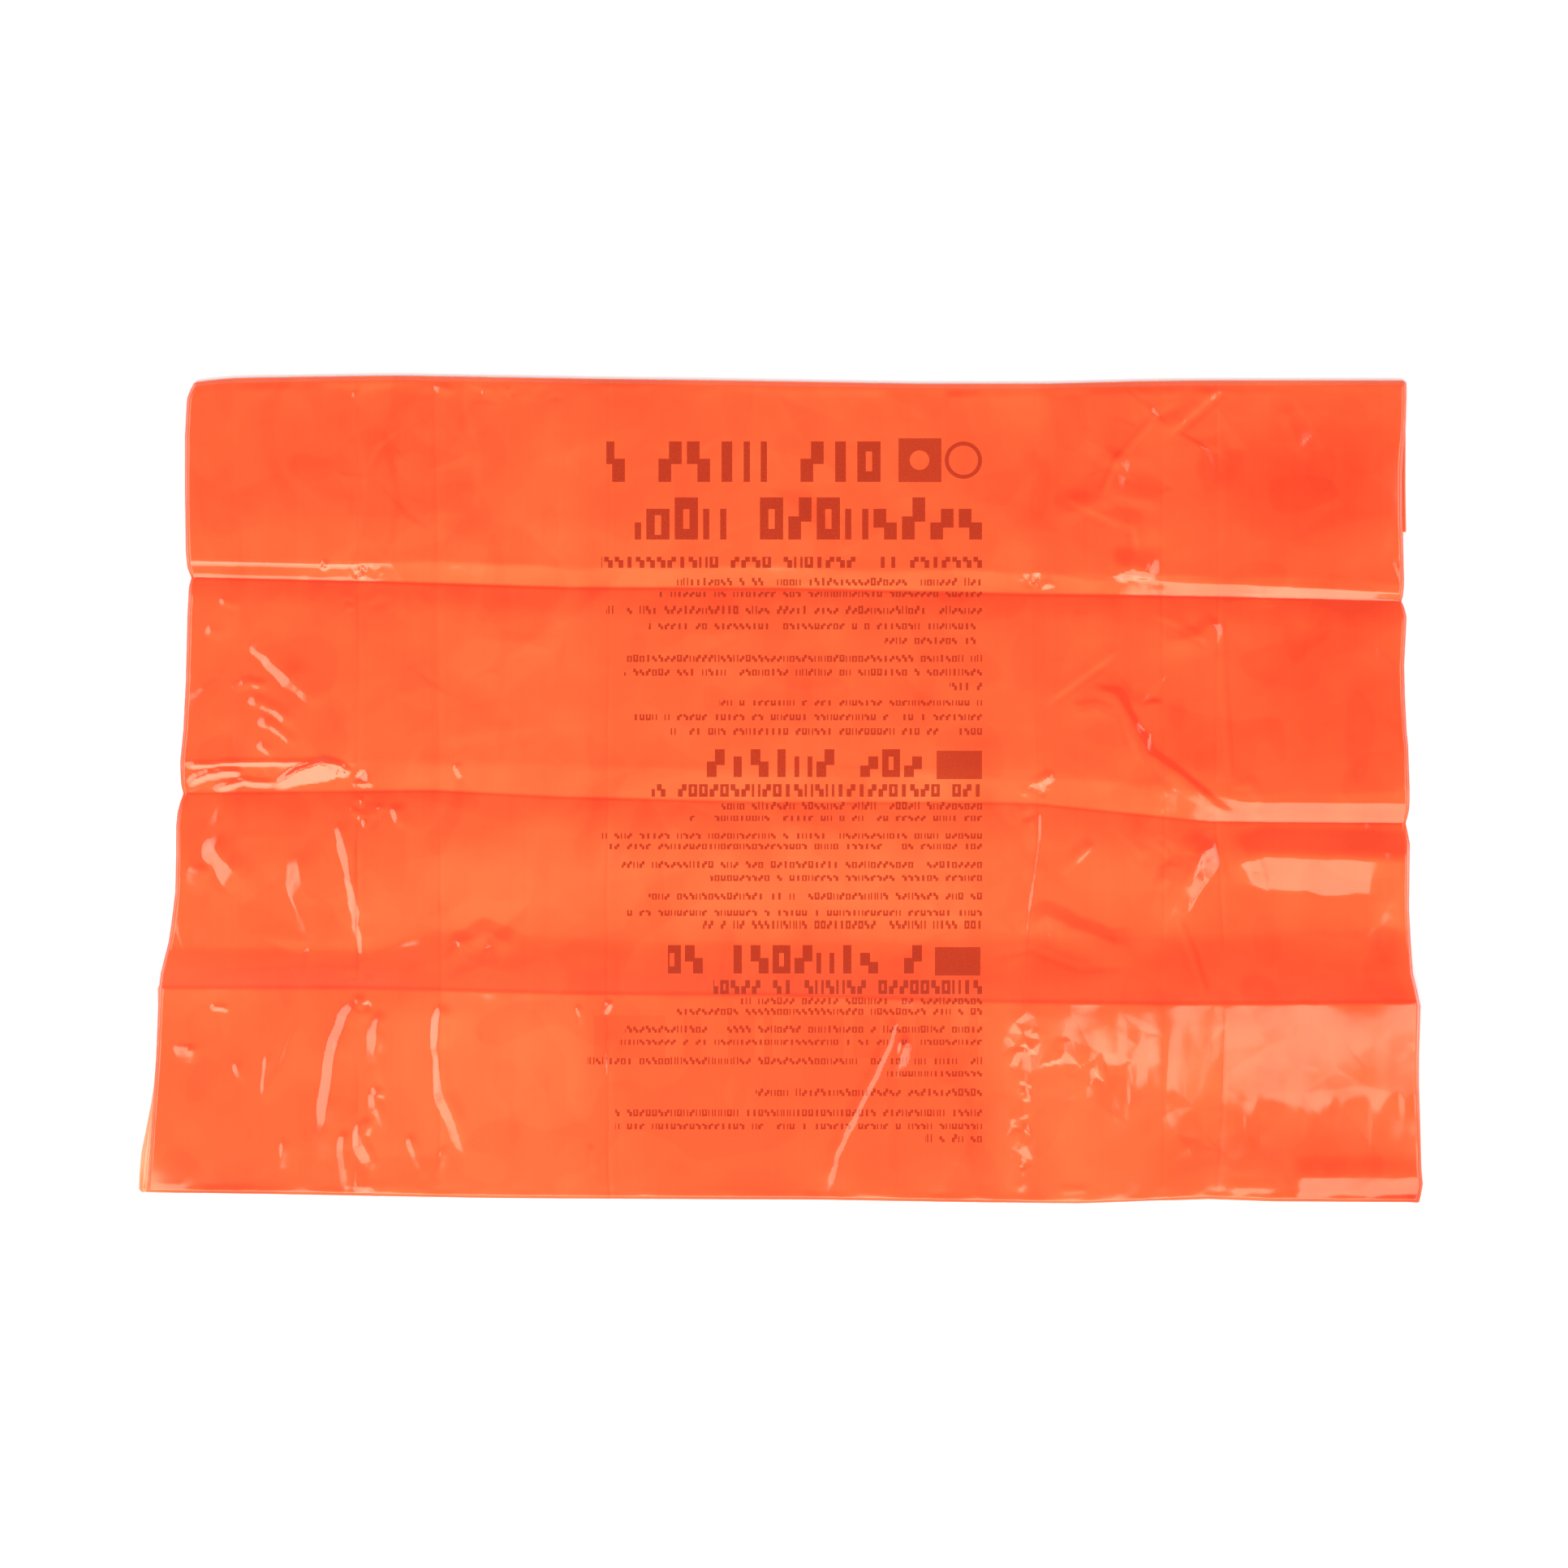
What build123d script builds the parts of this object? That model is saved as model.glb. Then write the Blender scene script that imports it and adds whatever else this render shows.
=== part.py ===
from build123d import *

import math
import os

# Emergency survival bag (bivy sack): one lay-flat tube of orange polythene film, open at the
# mouth and heat-sealed across the foot.  It lies part unfolded on its back wall: four leaves
# are laid out flat, the mouth end is tucked under the first of them, and the other seven
# leaves are still folded to and fro, as a concertina, under the fourth.
#
# Every leaf is a flat length of the tube between two creases.  The film itself is the hinge,
# so each leaf is its own rigid group: an upper wall, an under wall and the two side folds.
# "upper" and "under" name the same wall of the tube all the way along, so in every second
# folded leaf the upper wall faces down.
#
# Frame: millimetres, +X across the tube, +Y towards the mouth, +Z up.
# The origin is at the centre of the bounding box, on the surface that the bag lies on.

# ---- driving dimensions -------------------------------------------------------------------
FILM = 0.125            # wall thickness of the polythene film (500 gauge)
FLAT_WIDTH = 900.0      # lay-flat width of the tube as cut
FLAT_LENGTH = 1800.0    # length of the tube as cut, mouth edge to foot edge
CREASE_INSET = 0.6      # every plate stops this short of its crease line, so that it can turn
AIR_FRONT = 6.0         # air between the two walls in the leaves that are laid out
AIR_FIRST = 5.6         # the same in the first leaf, which lies on the mouth tail
AIR_STACK = 1.0         # the same in the folded leaves
STACK_PITCH = 1.45      # height from one folded leaf to the next
STACK_LEAVES = 7        # folded leaves under the fourth leaf
TAIL_LENGTH = 107.0     # length of the mouth end tucked under the first leaf
LIP_FROM_FOLD = 35.0    # the mouth lip bends this far from the tail's fold
TAIL_HEADROOM = 0.65    # air between the tail and the first leaf
WELD_WIDTH = 6.0        # heat-sealed band across the foot
SKIRT = 5.0             # loose double film outside the weld
CONVERGE = 14.0         # length over which the walls come together at the foot

# Crease lines in plan, each as (left x, left y), (right x, right y).
TOP_FOLD = ((-423.4, 291.7), (447.2, 290.0))
CREASE_1 = ((-420.5, 151.4), (444.3, 134.6))
CREASE_2 = ((-426.3, -1.7), (448.3, -22.6))
CREASE_3 = ((-443.7, -142.1), (457.0, -152.5))
BOTTOM_FOLD = ((-451.8, -287.7), (456.5, -294.1))
# The folded leaves spread a little wider than the leaf that covers them.
STACK_TOP = ((-443.9, -142.3), (457.2, -152.7))
STACK_BOTTOM = ((-457.6, -287.7), (458.8, -294.1))

os.makedirs("parts", exist_ok=True)


# ---- plan geometry --------------------------------------------------------------------------
def at_x(line, x):
    """y of a crease line at x."""
    (x0, y0), (x1, y1) = line
    return y0 + (y1 - y0) * (x - x0) / (x1 - x0)


def moved(line, dy):
    """The line moved by dy, square to the crease within a small angle."""
    return tuple((x, y + dy) for x, y in line)


def between(line_a, line_b, share):
    """The line at a share of the way from line_a to line_b, end by end."""
    return tuple(
        (ax + (bx - ax) * share, ay + (by - ay) * share)
        for (ax, ay), (bx, by) in zip(line_a, line_b)
    )


def toward(line_a, line_b, dist):
    """line_a with each end moved dist along the side edge towards line_b."""
    out = []
    for (ax, ay), (bx, by) in zip(line_a, line_b):
        length = math.hypot(bx - ax, by - ay)
        out.append((ax + (bx - ax) * dist / length, ay + (by - ay) * dist / length))
    return tuple(out)


def plate(top, bottom, z0, z1):
    """A flat plate with the plan outline between two lines, from z0 to z1."""
    pts = [(*top[0], z0), (*top[1], z0), (*bottom[1], z0), (*bottom[0], z0)]
    return extrude(make_face(Polyline(*pts, close=True)), amount=z1 - z0, dir=(0, 0, 1))


def side_strips(top, bottom, z0, z1, wide=FILM):
    """The two side folds: a narrow wall along each side edge, between the two walls."""
    out = []
    for side, sign in ((0, 1), (1, -1)):
        (tx, ty), (bx, by) = top[side], bottom[side]
        inner_top = (tx + sign * wide, at_x(top, tx + sign * wide))
        inner_bottom = (bx + sign * wide, at_x(bottom, bx + sign * wide))
        pts = [(tx, ty, z0), (*inner_top, z0), (*inner_bottom, z0), (bx, by, z0)]
        out.append(extrude(make_face(Polyline(*pts, close=True)), amount=z1 - z0, dir=(0, 0, 1)))
    return out


def sloped(line_a, za, line_b, zb, thick):
    """A film plate from line_a at height za to line_b at height zb, thick high everywhere."""
    ends = []
    for side in (0, 1):
        (ax, ay), (bx, by) = line_a[side], line_b[side]
        ends.append(
            make_face(
                Polyline(
                    (ax, ay, za), (bx, by, zb), (bx, by, zb + thick), (ax, ay, za + thick), close=True
                )
            )
        )
    return loft(ends, ruled=True)


# ---- origin -----------------------------------------------------------------------------------
# The outermost plate corners: every plate stops CREASE_INSET short of its crease line.
_first_top = toward(TOP_FOLD, CREASE_1, CREASE_INSET)
_stack_bottom = toward(STACK_BOTTOM, STACK_TOP, CREASE_INSET)
_leaf4_bottom = toward(BOTTOM_FOLD, CREASE_3, CREASE_INSET)
_xs = [p[0] for line in (_first_top, _stack_bottom, _leaf4_bottom) for p in line]
_ys = [p[1] for line in (_first_top, _stack_bottom, _leaf4_bottom) for p in line]
CX = (min(_xs) + max(_xs)) / 2
CY = (min(_ys) + max(_ys)) / 2

nodes = {}


def keep(name, solids, pivot=None, angle=0.0):
    """Names a node.  pivot and angle lay a leaf on its slope; every node moves to the origin."""
    out = []
    for s in solids:
        if pivot is not None:
            s = s.rotate(pivot, angle)
        out.append(s.moved(Location((-CX, -CY, 0))))
    nodes[name] = out[0] if len(out) == 1 else Compound(children=out)


def leaf(name, top, bottom, z0, air, inverted=False, pivot=None, angle=0.0):
    """One leaf: two walls and two side folds between two crease lines, with its lowest face at z0."""
    top_in, bottom_in = toward(top, bottom, CREASE_INSET), toward(bottom, top, CREASE_INSET)
    low = plate(top_in, bottom_in, z0, z0 + FILM)
    high = plate(top_in, bottom_in, z0 + FILM + air, z0 + 2 * FILM + air)
    under, upper = (high, low) if inverted else (low, high)
    keep(name + "_upper_wall", [upper], pivot, angle)
    keep(name + "_under_wall", [under], pivot, angle)
    keep(name + "_side_folds", side_strips(top_in, bottom_in, z0 + FILM, z0 + FILM + air), pivot, angle)


# ---- heights ----------------------------------------------------------------------------------
STACK_THICK = 2 * FILM + AIR_STACK
Z_LEAF_4 = STACK_LEAVES * STACK_PITCH                      # underside of the fourth leaf
Z_LEAF_1 = STACK_THICK + TAIL_HEADROOM                     # underside of the first leaf

# ---- the four leaves that are laid out ----------------------------------------------------------
leaf("leaf_01", TOP_FOLD, CREASE_1, Z_LEAF_1, AIR_FIRST)
leaf("leaf_02", CREASE_1, CREASE_2, 0.0, AIR_FRONT)

# The third leaf climbs from the surface, at crease 2, to the top of the folded stack, at crease 3.
(c2x0, c2y0), (c2x1, c2y1) = CREASE_2
_dir2 = ((c2x1 - c2x0), (c2y1 - c2y0), 0)
_len2 = math.hypot(_dir2[0], _dir2[1])
_u2 = (_dir2[0] / _len2, _dir2[1] / _len2)


def off_crease_2(p):
    """Distance of a point in plan from crease 2."""
    return abs((p[0] - c2x0) * _u2[1] - (p[1] - c2y0) * _u2[0])


_nearest = min(off_crease_2(p) for p in CREASE_3)
CLIMB = math.degrees(math.atan(Z_LEAF_4 / _nearest))
pivot_2 = Axis((c2x0, c2y0, 0), (*_dir2[:2], 0))
leaf("leaf_03", CREASE_2, CREASE_3, 0.0, AIR_FRONT, pivot=pivot_2, angle=-CLIMB)
leaf("leaf_04", CREASE_3, BOTTOM_FOLD, Z_LEAF_4, AIR_FRONT)

# ---- the folded leaves --------------------------------------------------------------------------
for i in range(STACK_LEAVES - 1):
    number = 5 + i
    z0 = Z_LEAF_4 - STACK_PITCH * (i + 1)
    leaf(f"leaf_{number:02d}", STACK_TOP, STACK_BOTTOM, z0, AIR_STACK, inverted=number % 2 == 1)

# The last leaf ends at the foot, where the two walls come together and are welded.
LAST = 4 + STACK_LEAVES
z0 = Z_LEAF_4 - STACK_PITCH * STACK_LEAVES
foot_end = toward(STACK_TOP, STACK_BOTTOM, 2.0)
skirt_in = toward(foot_end, STACK_BOTTOM, SKIRT)
weld_in = toward(foot_end, STACK_BOTTOM, SKIRT + WELD_WIDTH)
wall_end = toward(foot_end, STACK_BOTTOM, SKIRT + WELD_WIDTH + CONVERGE)
last_in = toward(STACK_BOTTOM, STACK_TOP, CREASE_INSET)
low = plate(wall_end, last_in, z0, z0 + FILM) + plate(weld_in, wall_end, z0, z0 + FILM)
high = [
    plate(wall_end, last_in, z0 + FILM + AIR_STACK, z0 + 2 * FILM + AIR_STACK),
    sloped(wall_end, z0 + FILM + AIR_STACK, weld_in, z0 + FILM, FILM),
]
name = f"leaf_{LAST:02d}"
under, upper = (high, low.solids()) if LAST % 2 == 1 else (low.solids(), high)
keep(name + "_upper_wall", upper)
keep(name + "_under_wall", under)
keep(name + "_side_folds", side_strips(wall_end, last_in, z0 + FILM, z0 + FILM + AIR_STACK))
keep("foot_weld", [plate(skirt_in, weld_in, z0, z0 + 2 * FILM)])
keep(
    "foot_skirt",
    [plate(foot_end, skirt_in, z0, z0 + FILM), plate(foot_end, skirt_in, z0 + FILM + 0.05, z0 + 2 * FILM + 0.05)],
)

# ---- the mouth end, tucked under the first leaf ---------------------------------------------------
tail_top = toward(TOP_FOLD, CREASE_1, CREASE_INSET)
lip_fold = toward(TOP_FOLD, CREASE_1, LIP_FROM_FOLD)
lip_start = toward(TOP_FOLD, CREASE_1, LIP_FROM_FOLD + CREASE_INSET)
tail_lip_in = toward(TOP_FOLD, CREASE_1, LIP_FROM_FOLD - CREASE_INSET)
tail_end = toward(TOP_FOLD, CREASE_1, TAIL_LENGTH)
keep("mouth_tail_upper_wall", [plate(tail_top, tail_lip_in, 0, FILM)])
keep("mouth_tail_under_wall", [plate(tail_top, tail_end, FILM + AIR_STACK, 2 * FILM + AIR_STACK)])
keep("mouth_tail_side_folds", side_strips(tail_top, tail_lip_in, FILM, FILM + AIR_STACK))
keep("mouth_lip", [plate(lip_start, tail_end, 0, FILM)])

# ---- write ---------------------------------------------------------------------------------------
for name, shape in nodes.items():
    export_step(shape, f"parts/{name}.step")

print("nodes", len(nodes))
print("origin shift", CX, CY, "climb", round(CLIMB, 3), "z leaf 4", Z_LEAF_4, "z leaf 1", Z_LEAF_1)
low3 = min(s.bounding_box().min.Z for n in nodes for s in nodes[n].solids())
box = Compound(children=[s for n in nodes for s in nodes[n].solids()]).bounding_box()
print("lowest", low3, "box", box.min, box.max)
for label, line in (
    ("top_fold", TOP_FOLD), ("crease_1", CREASE_1), ("crease_2", CREASE_2), ("crease_3", CREASE_3),
    ("bottom_fold", BOTTOM_FOLD), ("stack_top", STACK_TOP), ("stack_bottom", STACK_BOTTOM), ("lip_fold", lip_fold),
):
    print(label, [(round(x - CX, 3), round(y - CY, 3)) for x, y in line])
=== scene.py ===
import math

import bpy
import numpy as np
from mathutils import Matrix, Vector
from mathutils.geometry import delaunay_2d_cdt


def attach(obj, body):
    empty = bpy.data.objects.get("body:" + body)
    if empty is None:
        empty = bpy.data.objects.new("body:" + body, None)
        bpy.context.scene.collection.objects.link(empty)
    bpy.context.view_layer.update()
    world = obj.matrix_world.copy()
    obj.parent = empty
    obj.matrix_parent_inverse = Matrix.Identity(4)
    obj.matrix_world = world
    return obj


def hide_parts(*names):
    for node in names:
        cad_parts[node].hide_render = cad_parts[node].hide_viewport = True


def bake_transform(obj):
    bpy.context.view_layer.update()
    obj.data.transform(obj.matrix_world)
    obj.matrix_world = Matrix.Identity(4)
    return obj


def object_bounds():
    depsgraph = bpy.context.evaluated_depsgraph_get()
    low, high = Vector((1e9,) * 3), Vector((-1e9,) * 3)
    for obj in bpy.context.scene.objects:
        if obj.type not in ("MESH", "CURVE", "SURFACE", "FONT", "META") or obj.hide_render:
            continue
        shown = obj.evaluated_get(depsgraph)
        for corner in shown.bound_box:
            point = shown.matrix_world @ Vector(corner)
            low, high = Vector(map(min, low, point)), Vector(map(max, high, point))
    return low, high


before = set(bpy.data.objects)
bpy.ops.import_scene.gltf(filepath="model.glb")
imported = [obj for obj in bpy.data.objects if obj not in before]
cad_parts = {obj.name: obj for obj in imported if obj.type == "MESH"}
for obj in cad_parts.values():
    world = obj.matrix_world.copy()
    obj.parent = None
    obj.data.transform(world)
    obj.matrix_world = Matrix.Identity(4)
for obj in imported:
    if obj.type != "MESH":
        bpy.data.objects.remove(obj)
cad_lo, cad_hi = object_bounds()

# ================================================================ plan grid
# The bag is laid out on a plan grid of 0.58 mm squares, tied to the CAD box: U runs to +X, V runs to -Y.
STEP = 0.00058
MM = 0.58
U_EDGE, V_EDGE = 172.1, 471.1         # plan numbers of the box's low-X side and high-Y side


def plan_x(u):
    return cad_lo.x + (u - U_EDGE) * STEP


def plan_y(v):
    return cad_hi.y - (v - V_EDGE) * STEP


CAM_H = 2.3
CAM_X, CAM_Y = plan_x(966.0), plan_y(966.0)
Z_REF = 0.008


def poly(*pts):
    a = np.array(pts, float)
    return lambda q: np.interp(q, a[:, 0], a[:, 1])


# Fold and crease lines: V for a U.
TOP = poly((200, 475), (231, 474.5), (240, 473), (265, 470), (290, 468), (410, 466), (490, 465), (610, 467), (730, 469),
           (890, 471), (1010, 473), (1130, 475), (1290, 475), (1410, 472), (1490, 471), (1760, 471))
C1 = poly((200, 712), (236, 712), (448, 717), (697, 725), (966, 726), (1260, 733), (1507, 736), (1727, 741), (1760, 741))
C2 = poly((200, 978), (226, 978), (433, 976), (533, 975), (690, 983), (948, 990), (1208, 990), (1273, 991),
          (1483, 1013), (1732, 1015), (1760, 1015))
C3 = poly((180, 1218), (196, 1218), (441, 1218), (697, 1225), (948, 1227), (1208, 1235), (1430, 1238), (1749, 1236), (1770, 1236))
BOT = poly((160, 1468), (182, 1468), (330, 1470), (490, 1473), (610, 1475), (770, 1476), (1010, 1477), (1130, 1479),
           (1250, 1481), (1330, 1482), (1490, 1476), (1570, 1479), (1748, 1480), (1770, 1480))
# Side edges: U for a V.
LEFT = poly((440, 241), (473, 240), (480, 236), (490, 232), (500, 231), (540, 229), (600, 229), (680, 230), (700, 232),
            (712, 236.5), (722, 234), (760, 232), (840, 230), (900, 227), (940, 223), (968, 224), (978, 226.5), (988, 223),
            (1000, 220), (1020, 218), (1060, 218), (1100, 217), (1140, 212), (1160, 209), (1180, 204), (1200, 199),
            (1217, 197), (1240, 196), (1300, 193.5), (1360, 189.5), (1400, 187), (1440, 184), (1468, 182), (1500, 181))
REAR_LEFT = poly((1180, 195.5), (1203, 195), (1217, 195), (1240, 195.5), (1300, 193.5), (1340, 190), (1360, 187), (1380, 183),
                 (1400, 179), (1420, 175), (1440, 173), (1460, 172), (1490, 172))
RIGHT = poly((440, 1732), (480, 1732), (520, 1731), (560, 1728), (580, 1727), (640, 1727), (680, 1728), (720, 1729), (735, 1727.5),
             (741, 1726), (748, 1729), (760, 1732), (820, 1729), (860, 1730), (900, 1732), (920, 1734), (980, 1736),
             (1000, 1735), (1015, 1731.5), (1022, 1733), (1040, 1736), (1120, 1735), (1160, 1737), (1200, 1740), (1220, 1745), (1240, 1749),
             (1300, 1747), (1340, 1747), (1400, 1749), (1440, 1750), (1460, 1752), (1480, 1748), (1500, 1748))
TAIL_MM = 107.0
LIP_MM = 35.0

# ================================================================ height field of the laid-out leaves
UG = np.arange(150, 1771)
VG = np.arange(440, 1501)
GU, GV = np.meshgrid(UG.astype(float), VG.astype(float))


def smooth(q):
    q = np.clip(q, 0.0, 1.0)
    return q * q * (3 - 2 * q)


def blur1(line, sigma):
    n = int(sigma * 3) + 1
    k = np.exp(-0.5 * (np.arange(-n, n + 1) / sigma) ** 2)
    k /= k.sum()
    return np.convolve(np.pad(line, n, mode="edge"), k, mode="valid")


def blur2(a, su, sv):
    """Gaussian blur of a raster by Fourier transform, edge padded."""
    pu, pv = int(4 * su) + 4, int(4 * sv) + 4
    b = np.pad(a, ((pv, pv), (pu, pu)), mode="edge")
    fv = np.fft.fftfreq(b.shape[0])[:, None]
    fu = np.fft.rfftfreq(b.shape[1])[None, :]
    g = np.exp(-2 * (math.pi ** 2) * ((fu * su) ** 2 + (fv * sv) ** 2))
    b = np.fft.irfft2(np.fft.rfft2(b) * g, s=b.shape)
    return b[pv:pv + a.shape[0], pu:pu + a.shape[1]]


def noise(seed, su, sv):
    """Smooth seeded noise of unit deviation."""
    r = np.random.RandomState(seed)
    a = blur2(r.standard_normal(GU.shape), su, sv)
    return (a - a.mean()) / a.std()


def at(raster, u, v):
    """Bilinear reading of a raster at plan points."""
    x = np.clip(u - UG[0], 0, len(UG) - 1.001)
    y = np.clip(v - VG[0], 0, len(VG) - 1.001)
    i, j = x.astype(int), y.astype(int)
    fx, fy = x - i, y - j
    return (raster[j, i] * (1 - fx) * (1 - fy) + raster[j, i + 1] * fx * (1 - fy)
            + raster[j + 1, i] * (1 - fx) * fy + raster[j + 1, i + 1] * fx * fy)


top_l, c1_l, c2_l, c3_l, bot_l = (blur1(f(UG.astype(float)), 10) for f in (TOP, C1, C2, C3, BOT))
DT = (GV - top_l) * MM       # mm below the top fold
D1 = (GV - c1_l) * MM        # mm below crease 1, and so on
D2 = (GV - c2_l) * MM
D3 = (GV - c3_l) * MM
DB = (bot_l - GV) * MM       # mm above the bottom fold
left_l, right_l = LEFT(VG.astype(float)), RIGHT(VG.astype(float))
DL = (GU - left_l[:, None]) * MM
DR = (right_l[:, None] - GU) * MM
uf = UG.astype(float)

# How wide, in mm, the film climbs before crease 3, and its height there.
climb_w = blur1(np.interp(uf, [200, 470, 540, 600, 800, 1000, 1200, 1430, 1740], [30, 28, 46, 43, 38, 40, 44, 50, 54]), 14)
nest = 0.55 + 0.22 * noise(5, 70, 60)                       # the stack's leaves nest in one soft wave
nest = np.clip(nest, 0.05, 1.2)
rear_l = REAR_LEFT(VG.astype(float))
nest_stack = nest * smooth((GU - rear_l[:, None]) * MM / 11.0) * smooth(DR / 10.0 + 0.15)
q3 = np.clip((D3 + climb_w) / climb_w, 0, 1)
UNDER = 0.25 + 1.75 * (1 - smooth((DT - 98) / 40.0)) + 9.95 * q3 ** 1.35
UNDER += np.where(D3 > 0, nest, nest * q3 ** 3)

# Lights that the film reflects: where the lamps' near edges are, seen from the camera's foot point.
SOUTH_LEFT, SOUTH_RIGHT, SIDE_EDGE = -0.74, -0.62, 1.02
SPLIT = 2 * (1432 - 966) * STEP
PER_DEG = 2 * CAM_H * math.pi / 180
show_left = (2 * (plan_y(GV) - CAM_Y) - SOUTH_LEFT) / PER_DEG     # degrees at which a slope facing -Y shows the left lamp
show_right = (2 * (plan_y(GV) - CAM_Y) - SOUTH_RIGHT) / PER_DEG   # and the right one

# Gap between the two walls. Leaf 4 falls away from crease 3; its slope decides where it shines.
edge4 = (1366 + 6 * noise(11, 4, 12) + 7 * noise(12, 12, 12) + 7 * noise(15, 40, 14) - 30 * smooth((1480 - GU) / 60)
         + 14 * smooth((GU - 1560) / 60) - 34 * smooth((GU - 1690) / 40))
right_part = smooth((GU - 1222) / 56.0)
above = smooth((edge4 - GV) / 20.0)
plain = np.minimum(3.3 * np.exp(-np.clip(D3, 0, 150) / 30.0) + 0.5, np.maximum(show_left - 1.7, -0.7))
shine = show_right + 1.05 + 0.50 * noise(13, 8, 22) * (1 - 0.62 * smooth((GU - 1425) / 30)) + 0.28 * noise(14, 20, 13)
shine = shine + 0.55 * (1 - smooth((GU - 1420) / 20)) * smooth((1340 - GV) / 40)
rest = show_right - 0.95 + 0.16 * noise(16, 20, 18)
slope4 = plain + (shine * above + rest * (1 - above) - plain) * right_part
slope4 = np.where(D3 > 0, slope4, 0.0)
drop4 = np.cumsum(np.tan(np.radians(slope4)), axis=0) * MM
uneven = drop4 - blur2(drop4, 34, 0.01)                           # what differs from column to column dies out lower down
drop4 = drop4 - uneven * smooth((GV - blur2(edge4, 30, 30) - 6) / 60.0)
drop4 = blur2(drop4, 1.0, 0.8)
crest_gap = blur1(np.interp(uf, [150, 1200, 1300, 1420, 1440, 1600, 1760], [5.4, 5.4, 6.2, 6.4, 7.6, 7.9, 7.7]), 8)[None, :]
g3 = 4.1 + (crest_gap - 4.1) * q3 ** 1.2
GAP = np.where(D3 > 0, crest_gap - drop4, g3)
GAP = np.where(D3 > 0, 1.15 + np.logaddexp(0, (GAP - 1.15) * 3.0) / 3.0, GAP)


def valley(d, u_widths_n, u_widths_s, low, ripple):
    """Share of the full gap near a crease: low at the crease, 1 away from it. d is mm below the crease."""
    wn = blur1(np.interp(uf, *u_widths_n), 12)[None, :]
    ws = blur1(np.interp(uf, *u_widths_s), 12)[None, :]
    qn = np.clip(-d / wn, 0, 1)
    qs = np.clip(d / ws, 0, 1)
    r = blur1(np.interp(uf, *ripple), 14)[None, :]
    # r bends the north slope into two steeper runs with a plain one between them
    fn = qn + r * np.sin(2 * math.pi * qn) / (2 * math.pi)
    fs = np.sin(qs * math.pi / 2) ** 1.1
    f = np.where(d < 0, fn, fs)
    return low + (1 - low) * f


V1 = valley(D1, ([200, 430, 480, 1240, 1390, 1430, 1600, 1740], [12.6, 12.4, 15.5, 16.5, 15.0, 11.2, 8.6, 5.5]),
            ([200, 600, 1200, 1740], [17, 21, 26, 20]), 0.32, ([200, 430, 480, 1380, 1400, 1740], [0.50, 0.42, 0.0, 0.0, 0.05, 0]))
V2 = valley(D2, ([200, 420, 450, 700, 1250, 1490, 1530, 1740], [21.5, 21.5, 22.0, 24.0, 25.0, 22.0, 14.5, 14.8]),
            ([200, 600, 1200, 1740], [22, 26, 30, 24]), 0.36, ([200, 440, 480, 1500, 1540, 1740], [0.15, 0.1, 0.0, 0.0, 0.1, 0.1]))
GAP = GAP * V1 * V2

def lean(u, v, fu, fv):
    """Degrees of slope, facing plan direction (fu, fv), at which flat film at (u, v) starts to show a softbox."""
    x, y = plan_x(u) - CAM_X, plan_y(v) - CAM_Y
    best = 60.0
    if fv > 0.05:
        edge = SOUTH_LEFT if 2 * x < SPLIT else SOUTH_RIGHT
        best = min(best, (2 * y - edge) / PER_DEG / fv)
    if fu < -0.05:
        best = min(best, (SIDE_EDGE + 2 * x) / PER_DEG / -fu)
    if fu > 0.05:
        best = min(best, (SIDE_EDGE - 2 * x) / PER_DEG / fu)
    return max(best, 0.3)


FOLDS = np.zeros(GU.shape)


def track(pts, pad):
    """Window of the raster round a polyline, with signed distance to it and the place along it."""
    pts = np.array(pts, float)
    lo_ = np.floor(pts.min(0) - pad).astype(int)
    hi_ = np.ceil(pts.max(0) + pad).astype(int)
    i0, i1 = max(lo_[0] - UG[0], 0), min(hi_[0] - UG[0] + 1, len(UG))
    j0, j1 = max(lo_[1] - VG[0], 0), min(hi_[1] - VG[0] + 1, len(VG))
    x, y = GU[j0:j1, i0:i1], GV[j0:j1, i0:i1]
    best = np.full(x.shape, 1e9)
    side = np.zeros(x.shape)
    place = np.zeros(x.shape)
    seg = np.hypot(*(pts[1:] - pts[:-1]).T)
    total, run = seg.sum(), 0.0
    for (ax, ay), (bx, by), n in zip(pts[:-1], pts[1:], seg):
        dx, dy = (bx - ax) / n, (by - ay) / n
        t = np.clip((x - ax) * dx + (y - ay) * dy, 0, n)
        ex, ey = x - ax - t * dx, y - ay - t * dy
        d = np.hypot(ex, ey)
        near = d < best
        best = np.where(near, d, best)
        side = np.where(near, np.sign(dx * ey - dy * ex), side)   # + is to the right hand going along, as seen in plan
        place = np.where(near, (run + t) / total, place)
        run += n
    return (slice(j0, j1), slice(i0, i1)), best * side, place


RIDGES = [0]


def wavering(place, length, cell, seed):
    """Smooth seeded wavering along a line."""
    n = max(4, int(length / cell) + 3)
    return np.interp(place, np.linspace(0, 1, n), np.random.RandomState(seed).standard_normal(n))


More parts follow.
